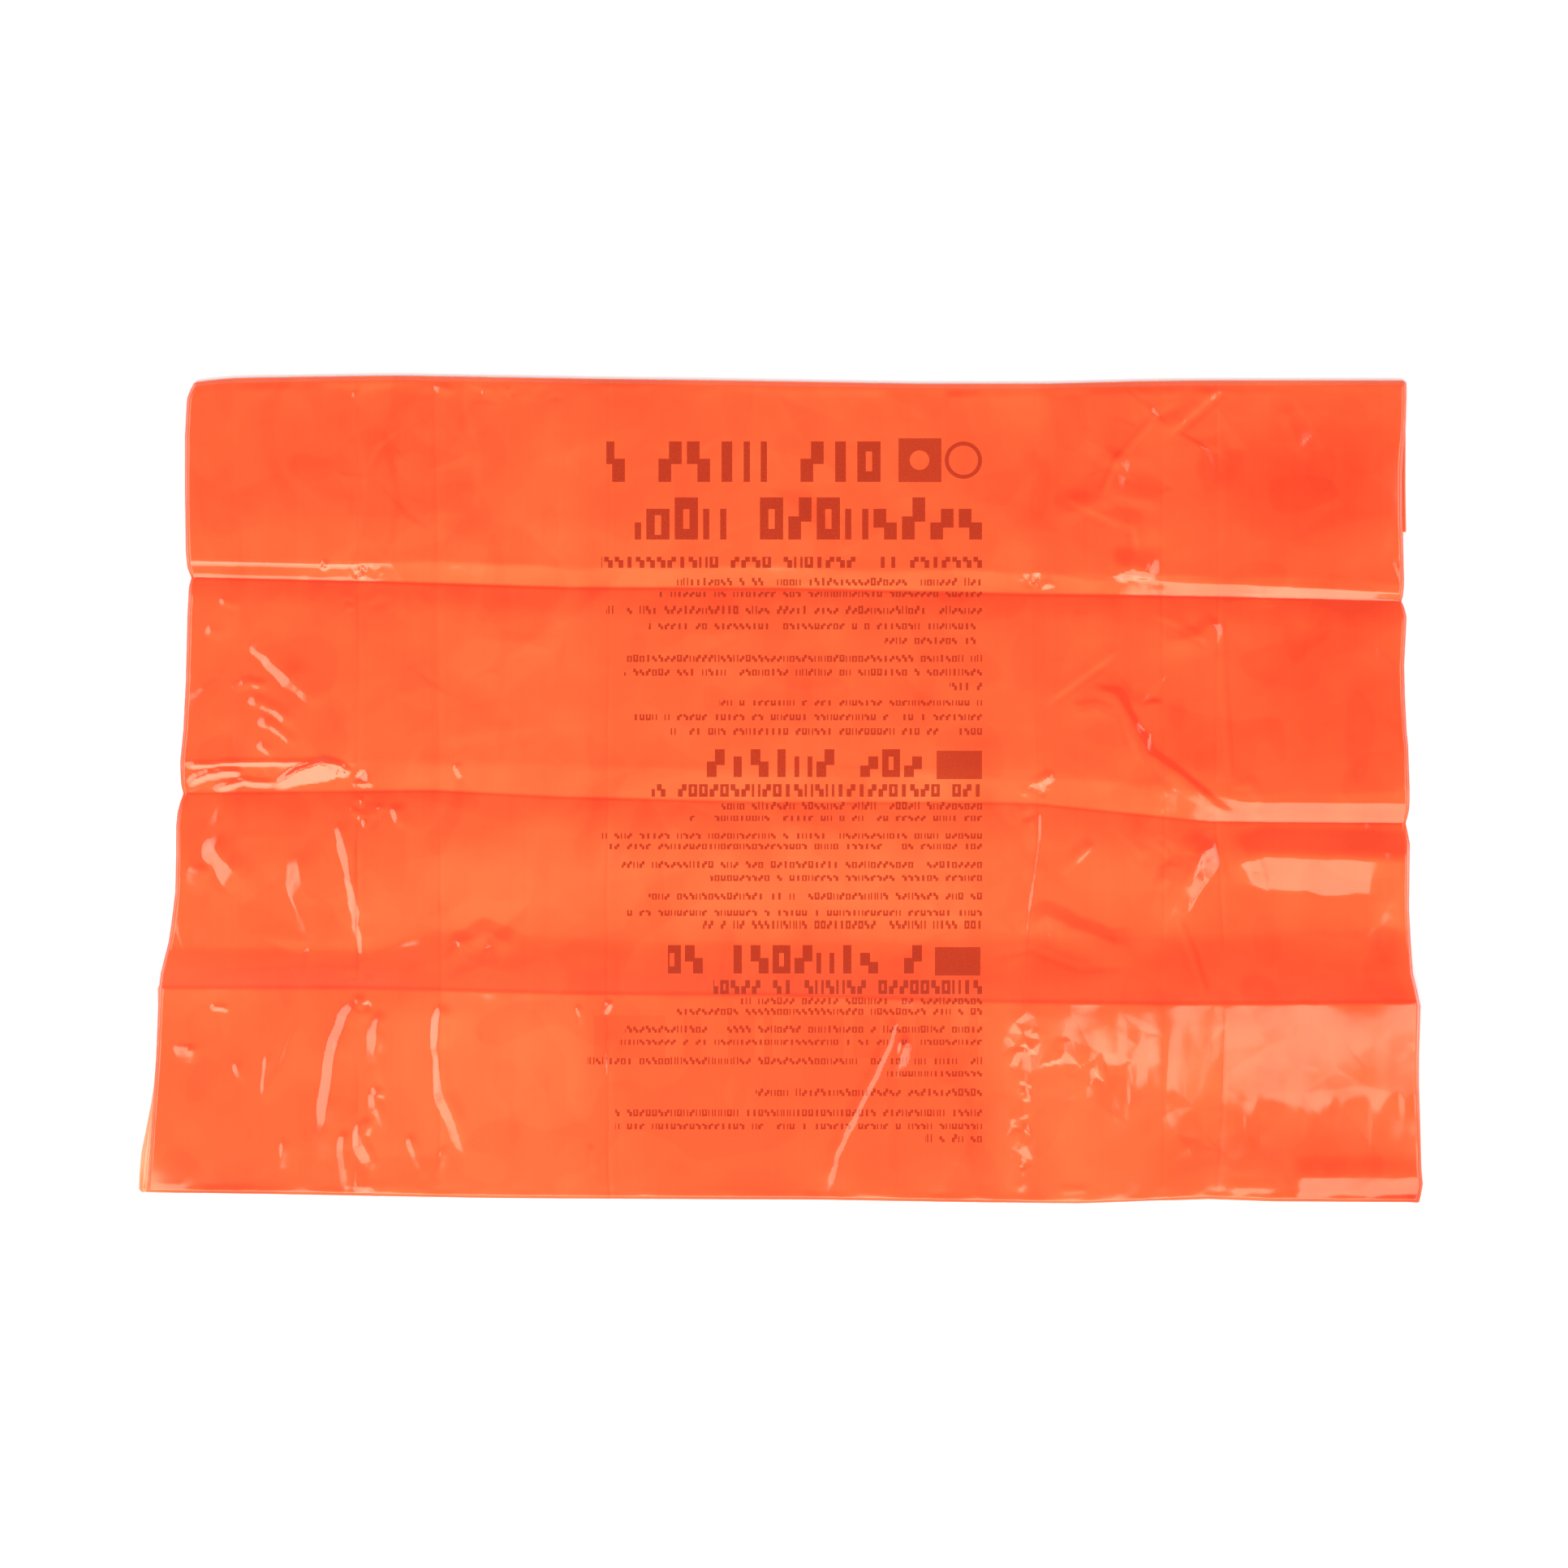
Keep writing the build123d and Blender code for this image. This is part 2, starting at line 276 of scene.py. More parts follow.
def ridge(pts, face, wide, over=2.2, back=26, taper=0.22, slope=None, widths=None):
    """A crest whose face side is a plain slope `wide` plan units across, leaning `over` degrees more than shows a softbox."""
    RIDGES[0] += 1
    pts = np.array(pts, float)
    f = np.array(face, float)
    f /= np.hypot(*f)
    mid = pts.mean(0) + f * wide / 2
    deg = slope if slope is not None else lean(mid[0], mid[1], *f) + over
    d = pts[-1] - pts[0]
    length = float(np.hypot(*(pts[1:] - pts[:-1]).T).sum())
    # the end that points to the near lamps runs out slowly, so that it does not shine by itself
    run_out = math.tan(math.radians(deg)) * wide * 0.75 * abs(d[1]) / np.hypot(*d) / 0.022 / length
    run_out = min(max(taper, run_out), 0.68)
    if abs(d[1]) > 0.4 * np.hypot(*d):
        last, before = (-1, -2) if d[1] > 0 else (0, 1)
        step = pts[last] - pts[before]
        pts[last] = pts[last] + step / np.hypot(*step) * 0.34 * run_out * length
        length *= 1 + 0.34 * run_out
    win, sd, place = track(pts, max(wide, back) + 4)
    # plan V runs down, so the right hand of (dx, dy) here is (-dy, dx)
    right_hand = np.array([-d[1], d[0]])
    sd = sd * (1.0 if right_hand @ f > 0 else -1.0)
    sd = sd + 0.7 * wavering(place, length, 17, 2000 + RIDGES[0]) * min(1.0, wide / 8, 16 / wide)
    w = wide * (np.interp(place, *widths) if widths is not None else 1.0)
    w = w * np.clip(1 + 0.13 * min(1.0, 15 / wide) * wavering(place, length, 24, 3000 + RIDGES[0]), 0.5, 1.5)
    rise = math.tan(math.radians(deg)) * w * MM
    lit = np.clip(1 - sd / np.maximum(w, 0.5), 0, 1)
    rear = np.clip(1 + sd / back, 0, 1)
    shape = np.where(sd > 0, lit, rear * rear * (3 - 2 * rear))
    north, south = (place, 1 - place) if d[1] >= 0 else (1 - place, place)
    ends = smooth(north / max(taper, 1e-3)) * np.clip(south / run_out, 0, 1)
    FOLDS[win] += rise * shape * ends


def crease(pts, high, wide=7.0, taper=0.05):
    """A soft line of no lit face: high mm up (or down, when negative), wide plan units each side."""
    win, sd, place = track(pts, wide * 3)
    ends = smooth(place / taper) * smooth((1 - place) / taper)
    FOLDS[win] += high * np.exp(-np.abs(sd) / wide * 1.1) * ends


def facets(points, heights):
    """Raster of the flat facets through scattered plan points, zero outside them."""
    out = np.zeros(GU.shape)
    found = delaunay_2d_cdt([Vector((float(a), float(b))) for a, b in points], [], [], 0, 1e-5)
    verts = [(p.x, p.y) for p in found[0]]
    high = [heights[ids[0]] if ids else 0.0 for ids in found[3]]
    for tri in found[2]:
        (ax, ay), (bx, by), (cx, cy) = (verts[k] for k in tri)
        det = (by - cy) * (ax - cx) + (cx - bx) * (ay - cy)
        if abs(det) < 1e-6:
            continue
        i0, i1 = max(int(min(ax, bx, cx)) - UG[0], 0), min(int(max(ax, bx, cx)) - UG[0] + 2, len(UG))
        j0, j1 = max(int(min(ay, by, cy)) - VG[0], 0), min(int(max(ay, by, cy)) - VG[0] + 2, len(VG))
        if i1 <= i0 or j1 <= j0:
            continue
        x, y = GU[j0:j1, i0:i1], GV[j0:j1, i0:i1]
        l1 = ((by - cy) * (x - cx) + (cx - bx) * (y - cy)) / det
        l2 = ((cy - ay) * (x - cx) + (ax - cx) * (y - cy)) / det
        l3 = 1 - l1 - l2
        inside = (l1 >= -1e-6) & (l2 >= -1e-6) & (l3 >= -1e-6)
        z = l1 * high[tri[0]] + l2 * high[tri[1]] + l3 * high[tri[2]]
        part = out[j0:j1, i0:i1]
        part[inside] = z[inside]
    return out


def crumple(u, v, ru, rv, seed, cell, deg):
    """Small angular facets about a point, where two old creases cross. cell is their size, deg their usual lean."""
    r = np.random.RandomState(seed)
    n = int(math.pi * ru * rv / (cell * cell)) + 5
    ang, rad = r.uniform(0, 2 * math.pi, n), np.sqrt(r.uniform(0, 1, n))
    high = r.standard_normal(n) * math.tan(math.radians(deg)) * cell * MM * 0.62 * (1 - rad ** 2)
    rim = np.linspace(0, 2 * math.pi, 17)[:-1]
    out_r = 1.12 + 0.12 * r.uniform(-1, 1, 16)
    pts = [(u + ru * q * math.cos(a), v + rv * q * math.sin(a)) for a, q in zip(ang, rad)]
    pts += [(u + ru * q * math.cos(a), v + rv * q * math.sin(a)) for a, q in zip(rim, out_r)]
    FOLDS[:] += facets(pts, list(high) + [0.0] * 16)


def field(seed, du, dv, high):
    """Flat facets over all the leaves, du by dv plan units, high mm deep."""
    r = np.random.RandomState(seed)
    pts = [(a + r.uniform(-0.45, 0.45) * du, b + r.uniform(-0.45, 0.45) * dv) for a in np.arange(130, 1800, du) for b in np.arange(420, 1530, dv)]
    return facets(pts, r.standard_normal(len(pts)) * high)


# ---- old packing creases that run along the bag
for u0, u1, u2, u3, u4, hgt in ((440, 441, 439, 441, 440, 0.34), (533, 537, 541, 542, 538, 0.18), (750, 750, 747, 746, 750, 0.12),
                                (1276, 1273, 1279, 1262, 1258, 0.26), (1432, 1430, 1434, 1432, 1432, 0.20), (1498, 1500, 1496, 1512, 1500, 0.16)):
    a, b, c, d, e = 476, 728, 992, 1232, 1472
    crease([(u0, a), (u1, b)], -hgt * 0.6, 8)
    crease([(u1, b), (u2, c)], hgt * 0.7, 9)
    crease([(u2, c), (u3, d)], -hgt * 0.8, 8)
    crease([(u3, d), (u4, e)], hgt, 9)

# ---- leaf 4
ridge([(440, 1226), (424, 1262), (412, 1300), (406, 1345), (400, 1380), (394, 1408)], (-1, 0.2), 14, over=3.0, back=34,
      widths=([0, .15, .5, .85, 1], [.45, .9, 1.0, .9, .5]), taper=0.1)
ridge([(470, 1242), (463, 1270), (462, 1300), (469, 1334)], (-1, 0.1), 17, over=2.6, back=14, widths=([0, .3, .6, .8, 1], [.5, 1, .7, 1.1, .6]), taper=0.15)
ridge([(472, 1338), (462, 1352), (470, 1385)], (-1, 0), 10, over=2.6, back=12)
ridge([(454, 1372), (447, 1400), (456, 1432), (450, 1468)], (-1, 0.1), 15, over=2.6, back=12, widths=([0, .3, .6, 1], [.5, 1, .6, .9]), taper=0.12)
ridge([(426, 1390), (423, 1420), (426, 1470)], (-1, 0), 8, over=2.8, back=10, taper=0.15)
ridge([(547, 1234), (540, 1258), (538, 1290), (542, 1325), (545, 1345), (556, 1372), (572, 1420)], (-1, 0.15), 9.5, over=3.0, back=22,
      widths=([0, .1, .35, .6, .8, 1], [.7, 1.1, .8, 1.3, .9, .6]), taper=0.08)
ridge([(349, 1402), (347, 1434)], (-1, 0), 5, over=2.5, back=14, taper=0.3)
ridge([(331, 1290), (327, 1322), (324, 1352)], (-1, 0.1), 5, over=2.2, back=16, taper=0.3)
ridge([(288, 1306), (301, 1334)], (-1, 0.3), 6, over=2.4, back=16, taper=0.3)
ridge([(233, 1284), (232, 1306)], (-1, 0), 19, over=2.2, back=18, taper=0.4)
ridge([(258, 1240), (284, 1243)], (-0.1, 1), 6, over=2.2, back=5, taper=0.3)
ridge([(503, 1394), (511, 1420), (520, 1444)], (-1, 0.2), 7, over=2.5, back=12, taper=0.25)
ridge([(548, 1408), (540, 1444)], (-1, 0.2), 6, over=2.2, back=12, taper=0.3)
ridge([(372, 1240), (352, 1300), (330, 1344)], (-1, 0.2), 5, over=0.2, back=26, taper=0.3)
ridge([(1106, 1252), (1094, 1290), (1066, 1345), (1047, 1383), (1028, 1424), (1020, 1466)], (0.9, 0.4), 6.5, over=2.4, back=15,
      widths=([0, .2, .6, .8, 1], [.6, .8, 1.1, .8, 1.0]), taper=0.06)
ridge([(1118, 1268), (1108, 1318)], (0.9, 0.4), 10, over=1.6, back=10, taper=0.4)
ridge([(752, 1262), (749, 1300), (751, 1340)], (-1, 0.4), 3.5, over=1.5, back=6, taper=0.25)
ridge([(712, 1236), (714, 1258)], (-1, 0.4), 5, over=2.0, back=6, taper=0.3)
ridge([(752, 1232), (746, 1246)], (-1, 0.6), 6, over=2.0, back=6, taper=0.3)
ridge([(727, 1408), (729, 1436)], (-1, 0.5), 6, over=2.0, back=8, taper=0.3)
ridge([(1592, 1452), (1680, 1450), (1770, 1451)], (0, 1), 30, over=2.4, back=30, taper=0.06)
ridge([(1300, 1466), (1340, 1468)], (0, 1), 6, over=1.5, back=10, taper=0.3)
ridge([(1505, 1463), (1575, 1465)], (0, 1), 9, over=1.5, back=14, taper=0.25)
crumple(1258, 1284, 22, 40, 31, 12, 5.0)
crumple(1257, 1402, 15, 62, 32, 12, 4.5)
crumple(447, 1238, 16, 12, 33, 7, 9)
crumple(1263, 1346, 9, 20, 36, 8, 5.0)
crumple(1264, 1446, 9, 18, 37, 8, 5.0)
crumple(1480, 1396, 80, 30, 35, 22, 1.6)
crumple(1345, 1300, 84, 58, 36, 22, 1.7)

# ---- leaf 3
ridge([(254, 1030), (266, 1050), (291, 1078), (316, 1104)], (-0.8, 0.6), 20, over=3.0, back=30,
      widths=([0, .2, .5, .8, 1], [.55, .9, 1.0, .9, .6]), taper=0.16)
ridge([(250, 1062), (247, 1078), (242, 1094)], (-1, 0.1), 18, over=1.2, back=14, taper=0.3)
ridge([(364, 1044), (371, 1085), (378, 1120), (380, 1158)], (-1, 0.1), 20, over=1.0, back=34,
      widths=([0, .3, .7, 1], [.6, 1, .6, .2]), taper=0.2)
ridge([(414, 1012), (425, 1040), (429, 1056), (432, 1086), (440, 1112), (444, 1150), (448, 1184)], (-1, 0.1), 9, over=3.0, back=24,
      widths=([0, .15, .35, .6, 1], [.7, 1.2, .7, 1.1, .6]), taper=0.1)
ridge([(482, 990), (491, 1008), (504, 1024)], (-0.8, 0.6), 8, over=2.4, back=18, taper=0.25)
ridge([(466, 992), (472, 1000)], (-0.8, 0.6), 6, over=2.0, back=8, taper=0.3)
ridge([(1314, 1072), (1350, 1037)], (0.7, 0.7), 6, over=0.8, back=18, taper=0.25)
ridge([(1500, 1034), (1470, 1070), (1450, 1108), (1424, 1158)], (0.82, 0.57), 26, over=1.7, back=40,
      widths=([0, .3, .6, 1], [.8, 1, .7, .25]), taper=0.15)
ridge([(1482, 1046), (1470, 1090), (1462, 1130)], (0.9, 0.3), 12, over=1.0, back=16, widths=([0, .4, 1], [.5, 1, .3]), taper=0.2)
ridge([(1446, 1052), (1430, 1096), (1424, 1120)], (0.85, 0.5), 8, over=0.6, back=14, widths=([0, .4, 1], [.4, 1, .2]), taper=0.2)
ridge([(1512, 1068), (1560, 1055), (1712, 1061)], (0.05, 1), 44, over=1.25, back=40,
      widths=([0, .2, .5, 1], [.5, .9, 1, 1]), taper=0.13)
ridge([(1686, 1061), (1806, 1066)], (0.05, 1), 84, slope=3.89, back=40, taper=0.21)
ridge([(1280, 992), (1276, 1050), (1268, 1105), (1262, 1164)], (0.9, 0.3), 5, over=1.0, back=14, taper=0.1)
crumple(450, 1000, 20, 22, 41, 8, 8)
crumple(582, 1168, 36, 22, 42, 15, 2.4)
crumple(440, 1198, 24, 14, 43, 8, 6)
crumple(1262, 1006, 22, 16, 44, 9, 5)
crumple(1450, 1045, 60, 26, 45, 16, 4)
ridge([(560, 1186), (566, 1160), (596, 1148), (640, 1168)], (0, -1), 16, slope=8, back=30, taper=0.25)
ridge([(1262, 1150), (1290, 1128), (1340, 1150), (1400, 1170)], (0, -1), 18, slope=7, back=36, taper=0.25)

# ---- leaf 2
ridge([(304, 792), (330, 812), (358, 838), (388, 864)], (-0.72, 0.68), 11, over=2.6, back=34, widths=([0, .3, .7, 1], [.5, .9, 1, .8]), taper=0.14)
ridge([(286, 850), (308, 842), (334, 846)], (-0.35, 0.94), 5, over=1.4, back=12, taper=0.3)
ridge([(303, 864), (322, 868), (340, 877), (356, 892)], (-0.6, 0.8), 6, over=2.4, back=15, taper=0.2)
ridge([(316, 890), (334, 896), (348, 905), (362, 918)], (-0.6, 0.8), 5.5, over=2.4, back=13, taper=0.2)
ridge([(316, 916), (338, 930)], (-0.6, 0.8), 5, over=1.4, back=12, taper=0.3)
ridge([(268, 738), (296, 750)], (-0.6, 0.8), 5, over=0.8, back=12, taper=0.3)
ridge([(254, 772), (272, 786)], (-0.8, 0.6), 10, over=0.6, back=14, taper=0.35)
ridge([(1340, 846), (1376, 856), (1416, 930), (1446, 950), (1512, 1004)], (0.75, -0.66), 10, slope=4.9, back=44, taper=0.08)
ridge([(1290, 866), (1330, 838), (1384, 800)], (-0.6, 0.8), 7, slope=4.6, back=22, taper=0.15)
ridge([(1318, 872), (1352, 866), (1376, 880)], (0.3, -0.95), 8, slope=6, back=20, taper=0.2)
ridge([(1498, 760), (1502, 860), (1510, 970)], (1, -0.1), 9, slope=2.2, back=20, taper=0.15)
ridge([(1418, 760), (1440, 768), (1490, 796)], (-0.3, 0.95), 8, slope=3.6, back=18, taper=0.2)
# painted shade and painted light along folds: (line, half width, amount); negative amounts darker, positive lighter
FOLD_LIGHT_AND_SHADE = [([(1344, 842), (1380, 852), (1420, 926), (1450, 946), (1516, 1000)], 3.2, -0.62),
                 ([(1338, 852), (1370, 866), (1408, 938), (1440, 958), (1500, 1006)], 7.0, 0.20),
                 ([(1316, 880), (1350, 870), (1378, 884), (1392, 930)], 3.0, -0.26),
                 ([(1290, 866), (1330, 838), (1384, 798)], 2.4, 0.34), ([(1294, 872), (1334, 844), (1386, 806)], 2.4, -0.24),
                 ([(1418, 758), (1442, 766), (1492, 794)], 2.6, 0.26), ([(1420, 766), (1444, 775), (1490, 803)], 2.6, -0.28),
                 ([(1502, 745), (1506, 860), (1514, 975)], 4.5, 0.16), ([(1508, 745), (1513, 860), (1521, 975)], 3.0, -0.20)]
ridge([(1500, 760), (1476, 784), (1440, 790)], (0, -1), 14, slope=7, back=28, taper=0.2)
ridge([(1516, 976), (1540, 966), (1552, 990)], (0.3, 1), 8, slope=5, back=16, taper=0.3)
ridge([(1300, 952), (1276, 968)], (0.3, 1), 7, over=0.8, back=12, taper=0.3)
ridge([(560, 940), (566, 956)], (-0.8, 0.6), 5, over=1.0, back=10, taper=0.3)
ridge([(228, 942), (300, 939), (372, 939), (412, 936)], (-0.05, 1), 5, over=1.0, back=5, taper=0.06)
ridge([(230, 964), (256, 953), (300, 950)], (-0.2, 1), 8, over=0.6, back=6, taper=0.15)
ridge([(338, 968), (366, 951), (398, 940), (420, 944), (432, 956)], (-0.15, 1), 17, over=1.2, back=8, taper=0.1, widths=([0, .3, .7, 1], [.3, 1.1, 1.2, .5]))
ridge([(262, 972), (300, 962), (344, 965)], (-0.2, 1), 7, over=0.4, back=6, taper=0.2)
crumple(444, 962, 18, 12, 51, 8, 10)
crumple(1275, 972, 20, 12, 52, 8, 7)
crumple(452, 742, 36, 16, 53, 12, 5)
crumple(1410, 890, 96, 80, 54, 28, 1.4)
crumple(560, 870, 80, 70, 55, 30, 2.2)

# ---- leaf 1
ridge([(1440, 532), (1474, 502), (1512, 472)], (0.66, 0.75), 8, over=-0.4, back=26, taper=0.15)
ridge([(1576, 494), (1600, 548), (1612, 560)], (-0.9, 0.4), 12, slope=3.4, back=26, taper=0.25)
ridge([(434, 482), (442, 496)], (-0.9, 0.4), 6, over=1.6, back=14, taper=0.3)
ridge([(538, 466), (552, 484)], (-0.8, 0.6), 8, over=1.6, back=14, taper=0.3)
ridge([(1366, 712), (1396, 700), (1440, 712)], (0.1, 1), 13, over=1.2, back=34, widths=([0, .4, 1], [.4, 1, .4]), taper=0.3)
ridge([(396, 694), (404, 698)], (-0.4, 1), 8, over=2.0, back=8, taper=0.4)
ridge([(1350, 560), (1372, 572), (1362, 620)], (0.8, -0.5), 20, slope=3.6, back=40, taper=0.2)
ridge([(1300, 640), (1376, 610), (1440, 622)], (-0.3, 1), 14, slope=5, back=34, taper=0.2)
ridge([(1356, 618), (1378, 570), (1416, 527), (1434, 504)], (-0.8, -0.6), 9, slope=3.2, back=24, taper=0.2)
ridge([(1308, 612), (1352, 634), (1396, 650), (1404, 684)], (-0.4, 0.9), 9, slope=3.6, back=24, taper=0.2)
FOLD_LIGHT_AND_SHADE += [([(1356, 618), (1378, 570), (1416, 527), (1434, 504)], 3.0, 0.26), ([(1350, 612), (1371, 566), (1409, 522), (1428, 500)], 3.0, -0.24),
                  ([(1308, 612), (1352, 634), (1396, 650), (1404, 684)], 3.0, 0.22), ([(1306, 620), (1350, 642), (1390, 658), (1396, 688)], 3.0, -0.18),
                  ([(1440, 538), (1474, 508), (1508, 476)], 3.0, 0.30), ([(1448, 542), (1482, 513), (1516, 482)], 3.0, -0.22),
                  ([(1588, 484), (1612, 520), (1632, 562)], 4.0, 0.18), ([(1498, 500), (1506, 580), (1506, 690)], 4.0, 0.10),
                  ([(566, 470), (590, 560), (586, 640)], 4.0, 0.14), ([(478, 548), (492, 620), (478, 680)], 5.0, -0.16), ([(430, 500), (446, 560), (452, 640)], 4.0, 0.12),
                  ([(1454, 1127), (1475, 1177), (1490, 1228)], 3.0, -0.26), ([(1448, 1130), (1468, 1180), (1483, 1228)], 4.0, 0.14),
                  ([(1216, 1176), (1270, 1166), (1330, 1190), (1400, 1186)], 3.5, 0.14), ([(1216, 1184), (1270, 1174), (1330, 1198), (1400, 1194)], 3.0, -0.16),
                  ([(540, 1186), (566, 1160), (600, 1152), (612, 1190)], 3.0, -0.22), ([(250, 1198), (400, 1190), (500, 1196), (560, 1170)], 3.0, -0.12)]
crumple(450, 704, 22, 9, 61, 8, 11)
crumple(1425, 545, 100, 66, 62, 28, 2.2)
crumple(500, 600, 110, 70, 63, 32, 2.4)
crumple(1282, 716, 28, 9, 64, 9, 8)
crumple(620, 484, 120, 12, 65, 14, 3.6)

# ---- soft waves over everything, and small tension lines across the leaves
WAVE = 0.26 * noise(1, 34, 30) + 0.10 * noise(2, 15, 24) + 0.03 * noise(3, 6, 14) + field(91, 46, 58, 0.24) + field(92, 19, 27, 0.055)
calm = 1 - 0.70 * smooth((D3 + 8) / 20.0)                    # leaf 4 lies quieter
calm *= 1 - 0.75 * np.exp(-(((GU - 1612) / 100.0) ** 2 + ((GV - 1082) / 44.0) ** 2) ** 1.5)
WAVE *= calm
cockle = 0.16 * noise(4, 9, 26) * np.exp(-(DT / 26.0) ** 2)  # gathered film under the top fold
cockle += 0.13 * noise(6, 8, 22) * np.exp(-((D1 - 6) / 17.0) ** 2)
cockle += 0.13 * noise(7, 8, 24) * np.exp(-((D2 - 6) / 19.0) ** 2)
cockle += 0.15 * noise(8, 10, 26) * np.exp(-((D3 + 14) / 16.0) ** 2)
cockle += 0.07 * noise(9, 9, 24) * np.exp(-(DB / 20.0) ** 2)


def shoulder(d, a, floor_):
    """Rounded edge of the tube: floor_ at the edge, 1 from a mm inwards."""
    q = np.clip(1 - d / a, 0, 1)
    return floor_ + (1 - floor_) * np.sqrt(np.clip(1 - q * q, 0, 1))


keep_away = smooth(DT / 9.0) * smooth(DB / 6.0)
relief = (FOLDS + WAVE + cockle) * keep_away
full = GAP + relief
full = np.maximum(full, 0.75)
pinch = shoulder(DL, 1.7, 0.2) * shoulder(DR, 1.7, 0.2) * shoulder(DT, 2.6, 0.28) * shoulder(DB, 1.8, 0.85)
full = 0.2 + (full - 0.2) * pinch
full = np.where(D3 > 0, np.minimum(full, 1.25 + 9 * (1 - np.exp(-DB / 2.2))), full)
UPPER = UNDER + np.maximum(full, 0.35)
UPPER = blur2(UPPER, 0.5, 0.6)
UNDER = blur2(UNDER, 3, 3)
UPPER = np.maximum(UPPER, UNDER + 0.3)

# Slopes of the upper wall, for its normals, and the tone of the film, which holds painted shade and painted light:
# darker where a slope faces away from the lamps, lighter where it faces them, and darker where the film lies close.
GY, GX = np.gradient(UPPER, MM)          # per mm, along +V and +U
north = np.clip(blur2(GY, 3, 2), 0, 0.4)  # rising towards +V: the slope faces the far side
south = np.clip(-blur2(GY, 3, 2), 0, 0.4)
TONE = 0.10 * noise(21, 46, 40) + 0.05 * noise(22, 14, 18)
# painted shade: slopes that face the far side, away from the main lamps, are made darker
TONE -= 1.25 * np.minimum(north, 0.26) * smooth(DT / 9.0) * (0.85 + 0.15 * noise(23, 20, 8))
# painted light and shade of the small relief: slopes facing the near lamps lighter, the others darker
ry, rx = np.gradient(blur2(relief, 1.2, 1.2), MM)
slope_light_and_shade = np.clip(-ry + 0.35 * rx * np.sign(GU - 900), -0.11, 0.10)
TONE += 2.3 * slope_light_and_shade * smooth(DL / 6) * smooth(DR / 6) * smooth(DT / 6)
# painted shade: steep film is made darker
TONE -= 1.2 * np.clip(np.hypot(rx, ry) - 0.05, 0, 0.12)
cling = smooth((noise(24, 30, 22) - 0.55) / 0.10) * 0.12 + smooth((noise(25, 13, 26) - 0.95) / 0.12) * 0.10
TONE -= cling * smooth(DL / 12) * smooth(DR / 12)
# painted light: slopes that face the near lamps are made lighter
TONE += 1.1 * np.clip(south, 0, 0.2)
TONE -= 0.50 * np.exp(-(((GU - 1640) / 175.0) ** 2 + ((GV - 600) / 88.0) ** 2) ** 1.5)
TONE -= 0.20 * np.exp(-(((GU - 1330) / 230.0) ** 2 + ((GV - 610) / 120.0) ** 2))
TONE -= 0.26 * np.exp(-(((GU - 1650) / 150.0) ** 2 + ((GV - 870) / 130.0) ** 2))
TONE -= 0.16 * np.exp(-(((GU - 560) / 110.0) ** 2 + ((GV - 590) / 90.0) ** 2))
TONE += 0.42 * np.exp(-(((GU - 930) / 460.0) ** 2 + ((GV - 1096) / 66.0) ** 2))
TONE -= 0.22 * np.exp(-(((GU - 1320) / 170.0) ** 2 + ((GV - 870) / 90.0) ** 2))
TONE -= 0.22 * np.exp(-(((GU - 1640) / 170.0) ** 2 + ((GV - 870) / 110.0) ** 2))
TONE -= 0.34 * np.exp(-(((GU - 1600) / 160.0) ** 2 + ((GV - 1425) / 48.0) ** 2))
TONE -= 0.20 * np.exp(-(((GU - 330) / 130.0) ** 2 + ((GV - 570) / 80.0) ** 2))
TONE -= 0.16 * smooth((D3 - 4) / 20.0) * smooth((470 - GU) / 60)
TONE -= 0.14 * np.exp(-(((GU - 1480) / 400.0) ** 2 + ((GV - 1190) / 60.0) ** 2))
TONE += 0.20 * smooth((D3 - 4) / 20.0) * (1 - 0.3 * smooth((GU - 1300) / 200.0))
TONE -= (0.13 + 0.26 * smooth((D3 - 4) / 20.0)) * smooth((GU - 690) / 60.0) * smooth((1250 - GU) / 60.0) * smooth(DT / 20.0)
TONE += 0.12 * np.exp(-(((GU - 830) / 150.0) ** 2 + ((GV - 860) / 90.0) ** 2))
# painted shade: a thin dark line along the foot of creases 1 and 2, and a softer one at crease 3
TONE -= 1.10 * np.exp(-(D1 / 0.9) ** 2) + 0.85 * np.exp(-(D2 / 0.9) ** 2) + 0.40 * np.exp(-((D3 + 1.2) / 1.2) ** 2)
# painted light: lighter bands on the slopes just above creases 1 and 2
painted_light_band_1 = smooth((D1 + 15.5 + 1.2 * noise(26, 26, 9)) / 2.2) * smooth((-D1 - 0.8) / 1.2)
painted_light_band_2 = smooth((D2 + 22.0 + 2.0 * noise(27, 34, 9)) / 3.0) * smooth((-D2 - 0.8) / 1.2)
TONE += (0.34 + 0.10 * noise(28, 30, 10)) * smooth((GU - 300) / 200) * painted_light_band_1 + (0.22 + 0.10 * noise(29, 30, 10)) * smooth((GU - 300) / 200) * painted_light_band_2
# painted shade: the film just below creases 1 and 2 is made darker, fading over about 9 mm
TONE -= 0.30 * smooth((D1 - 0.5) / 1.0) * np.exp(-np.clip(D1, 0, 99) / 9.0) + 0.22 * smooth((D2 - 0.5) / 1.0) * np.exp(-np.clip(D2, 0, 99) / 9.0)
line_v = [476, 728, 992, 1232, 1472]
edge_a = np.interp(GV[:, 0], line_v, [534, 538, 541, 542, 540])[:, None] + 1.5 * noise(31, 60, 18)
edge_b = np.interp(GV[:, 0], line_v, [1276, 1273, 1279, 1262, 1258])[:, None] + 1.5 * noise(32, 60, 18)
TONE += 0.10 * smooth((GU - edge_a) / 2.5) * (1 - smooth((GU - edge_b) / 2.5)) - 0.04
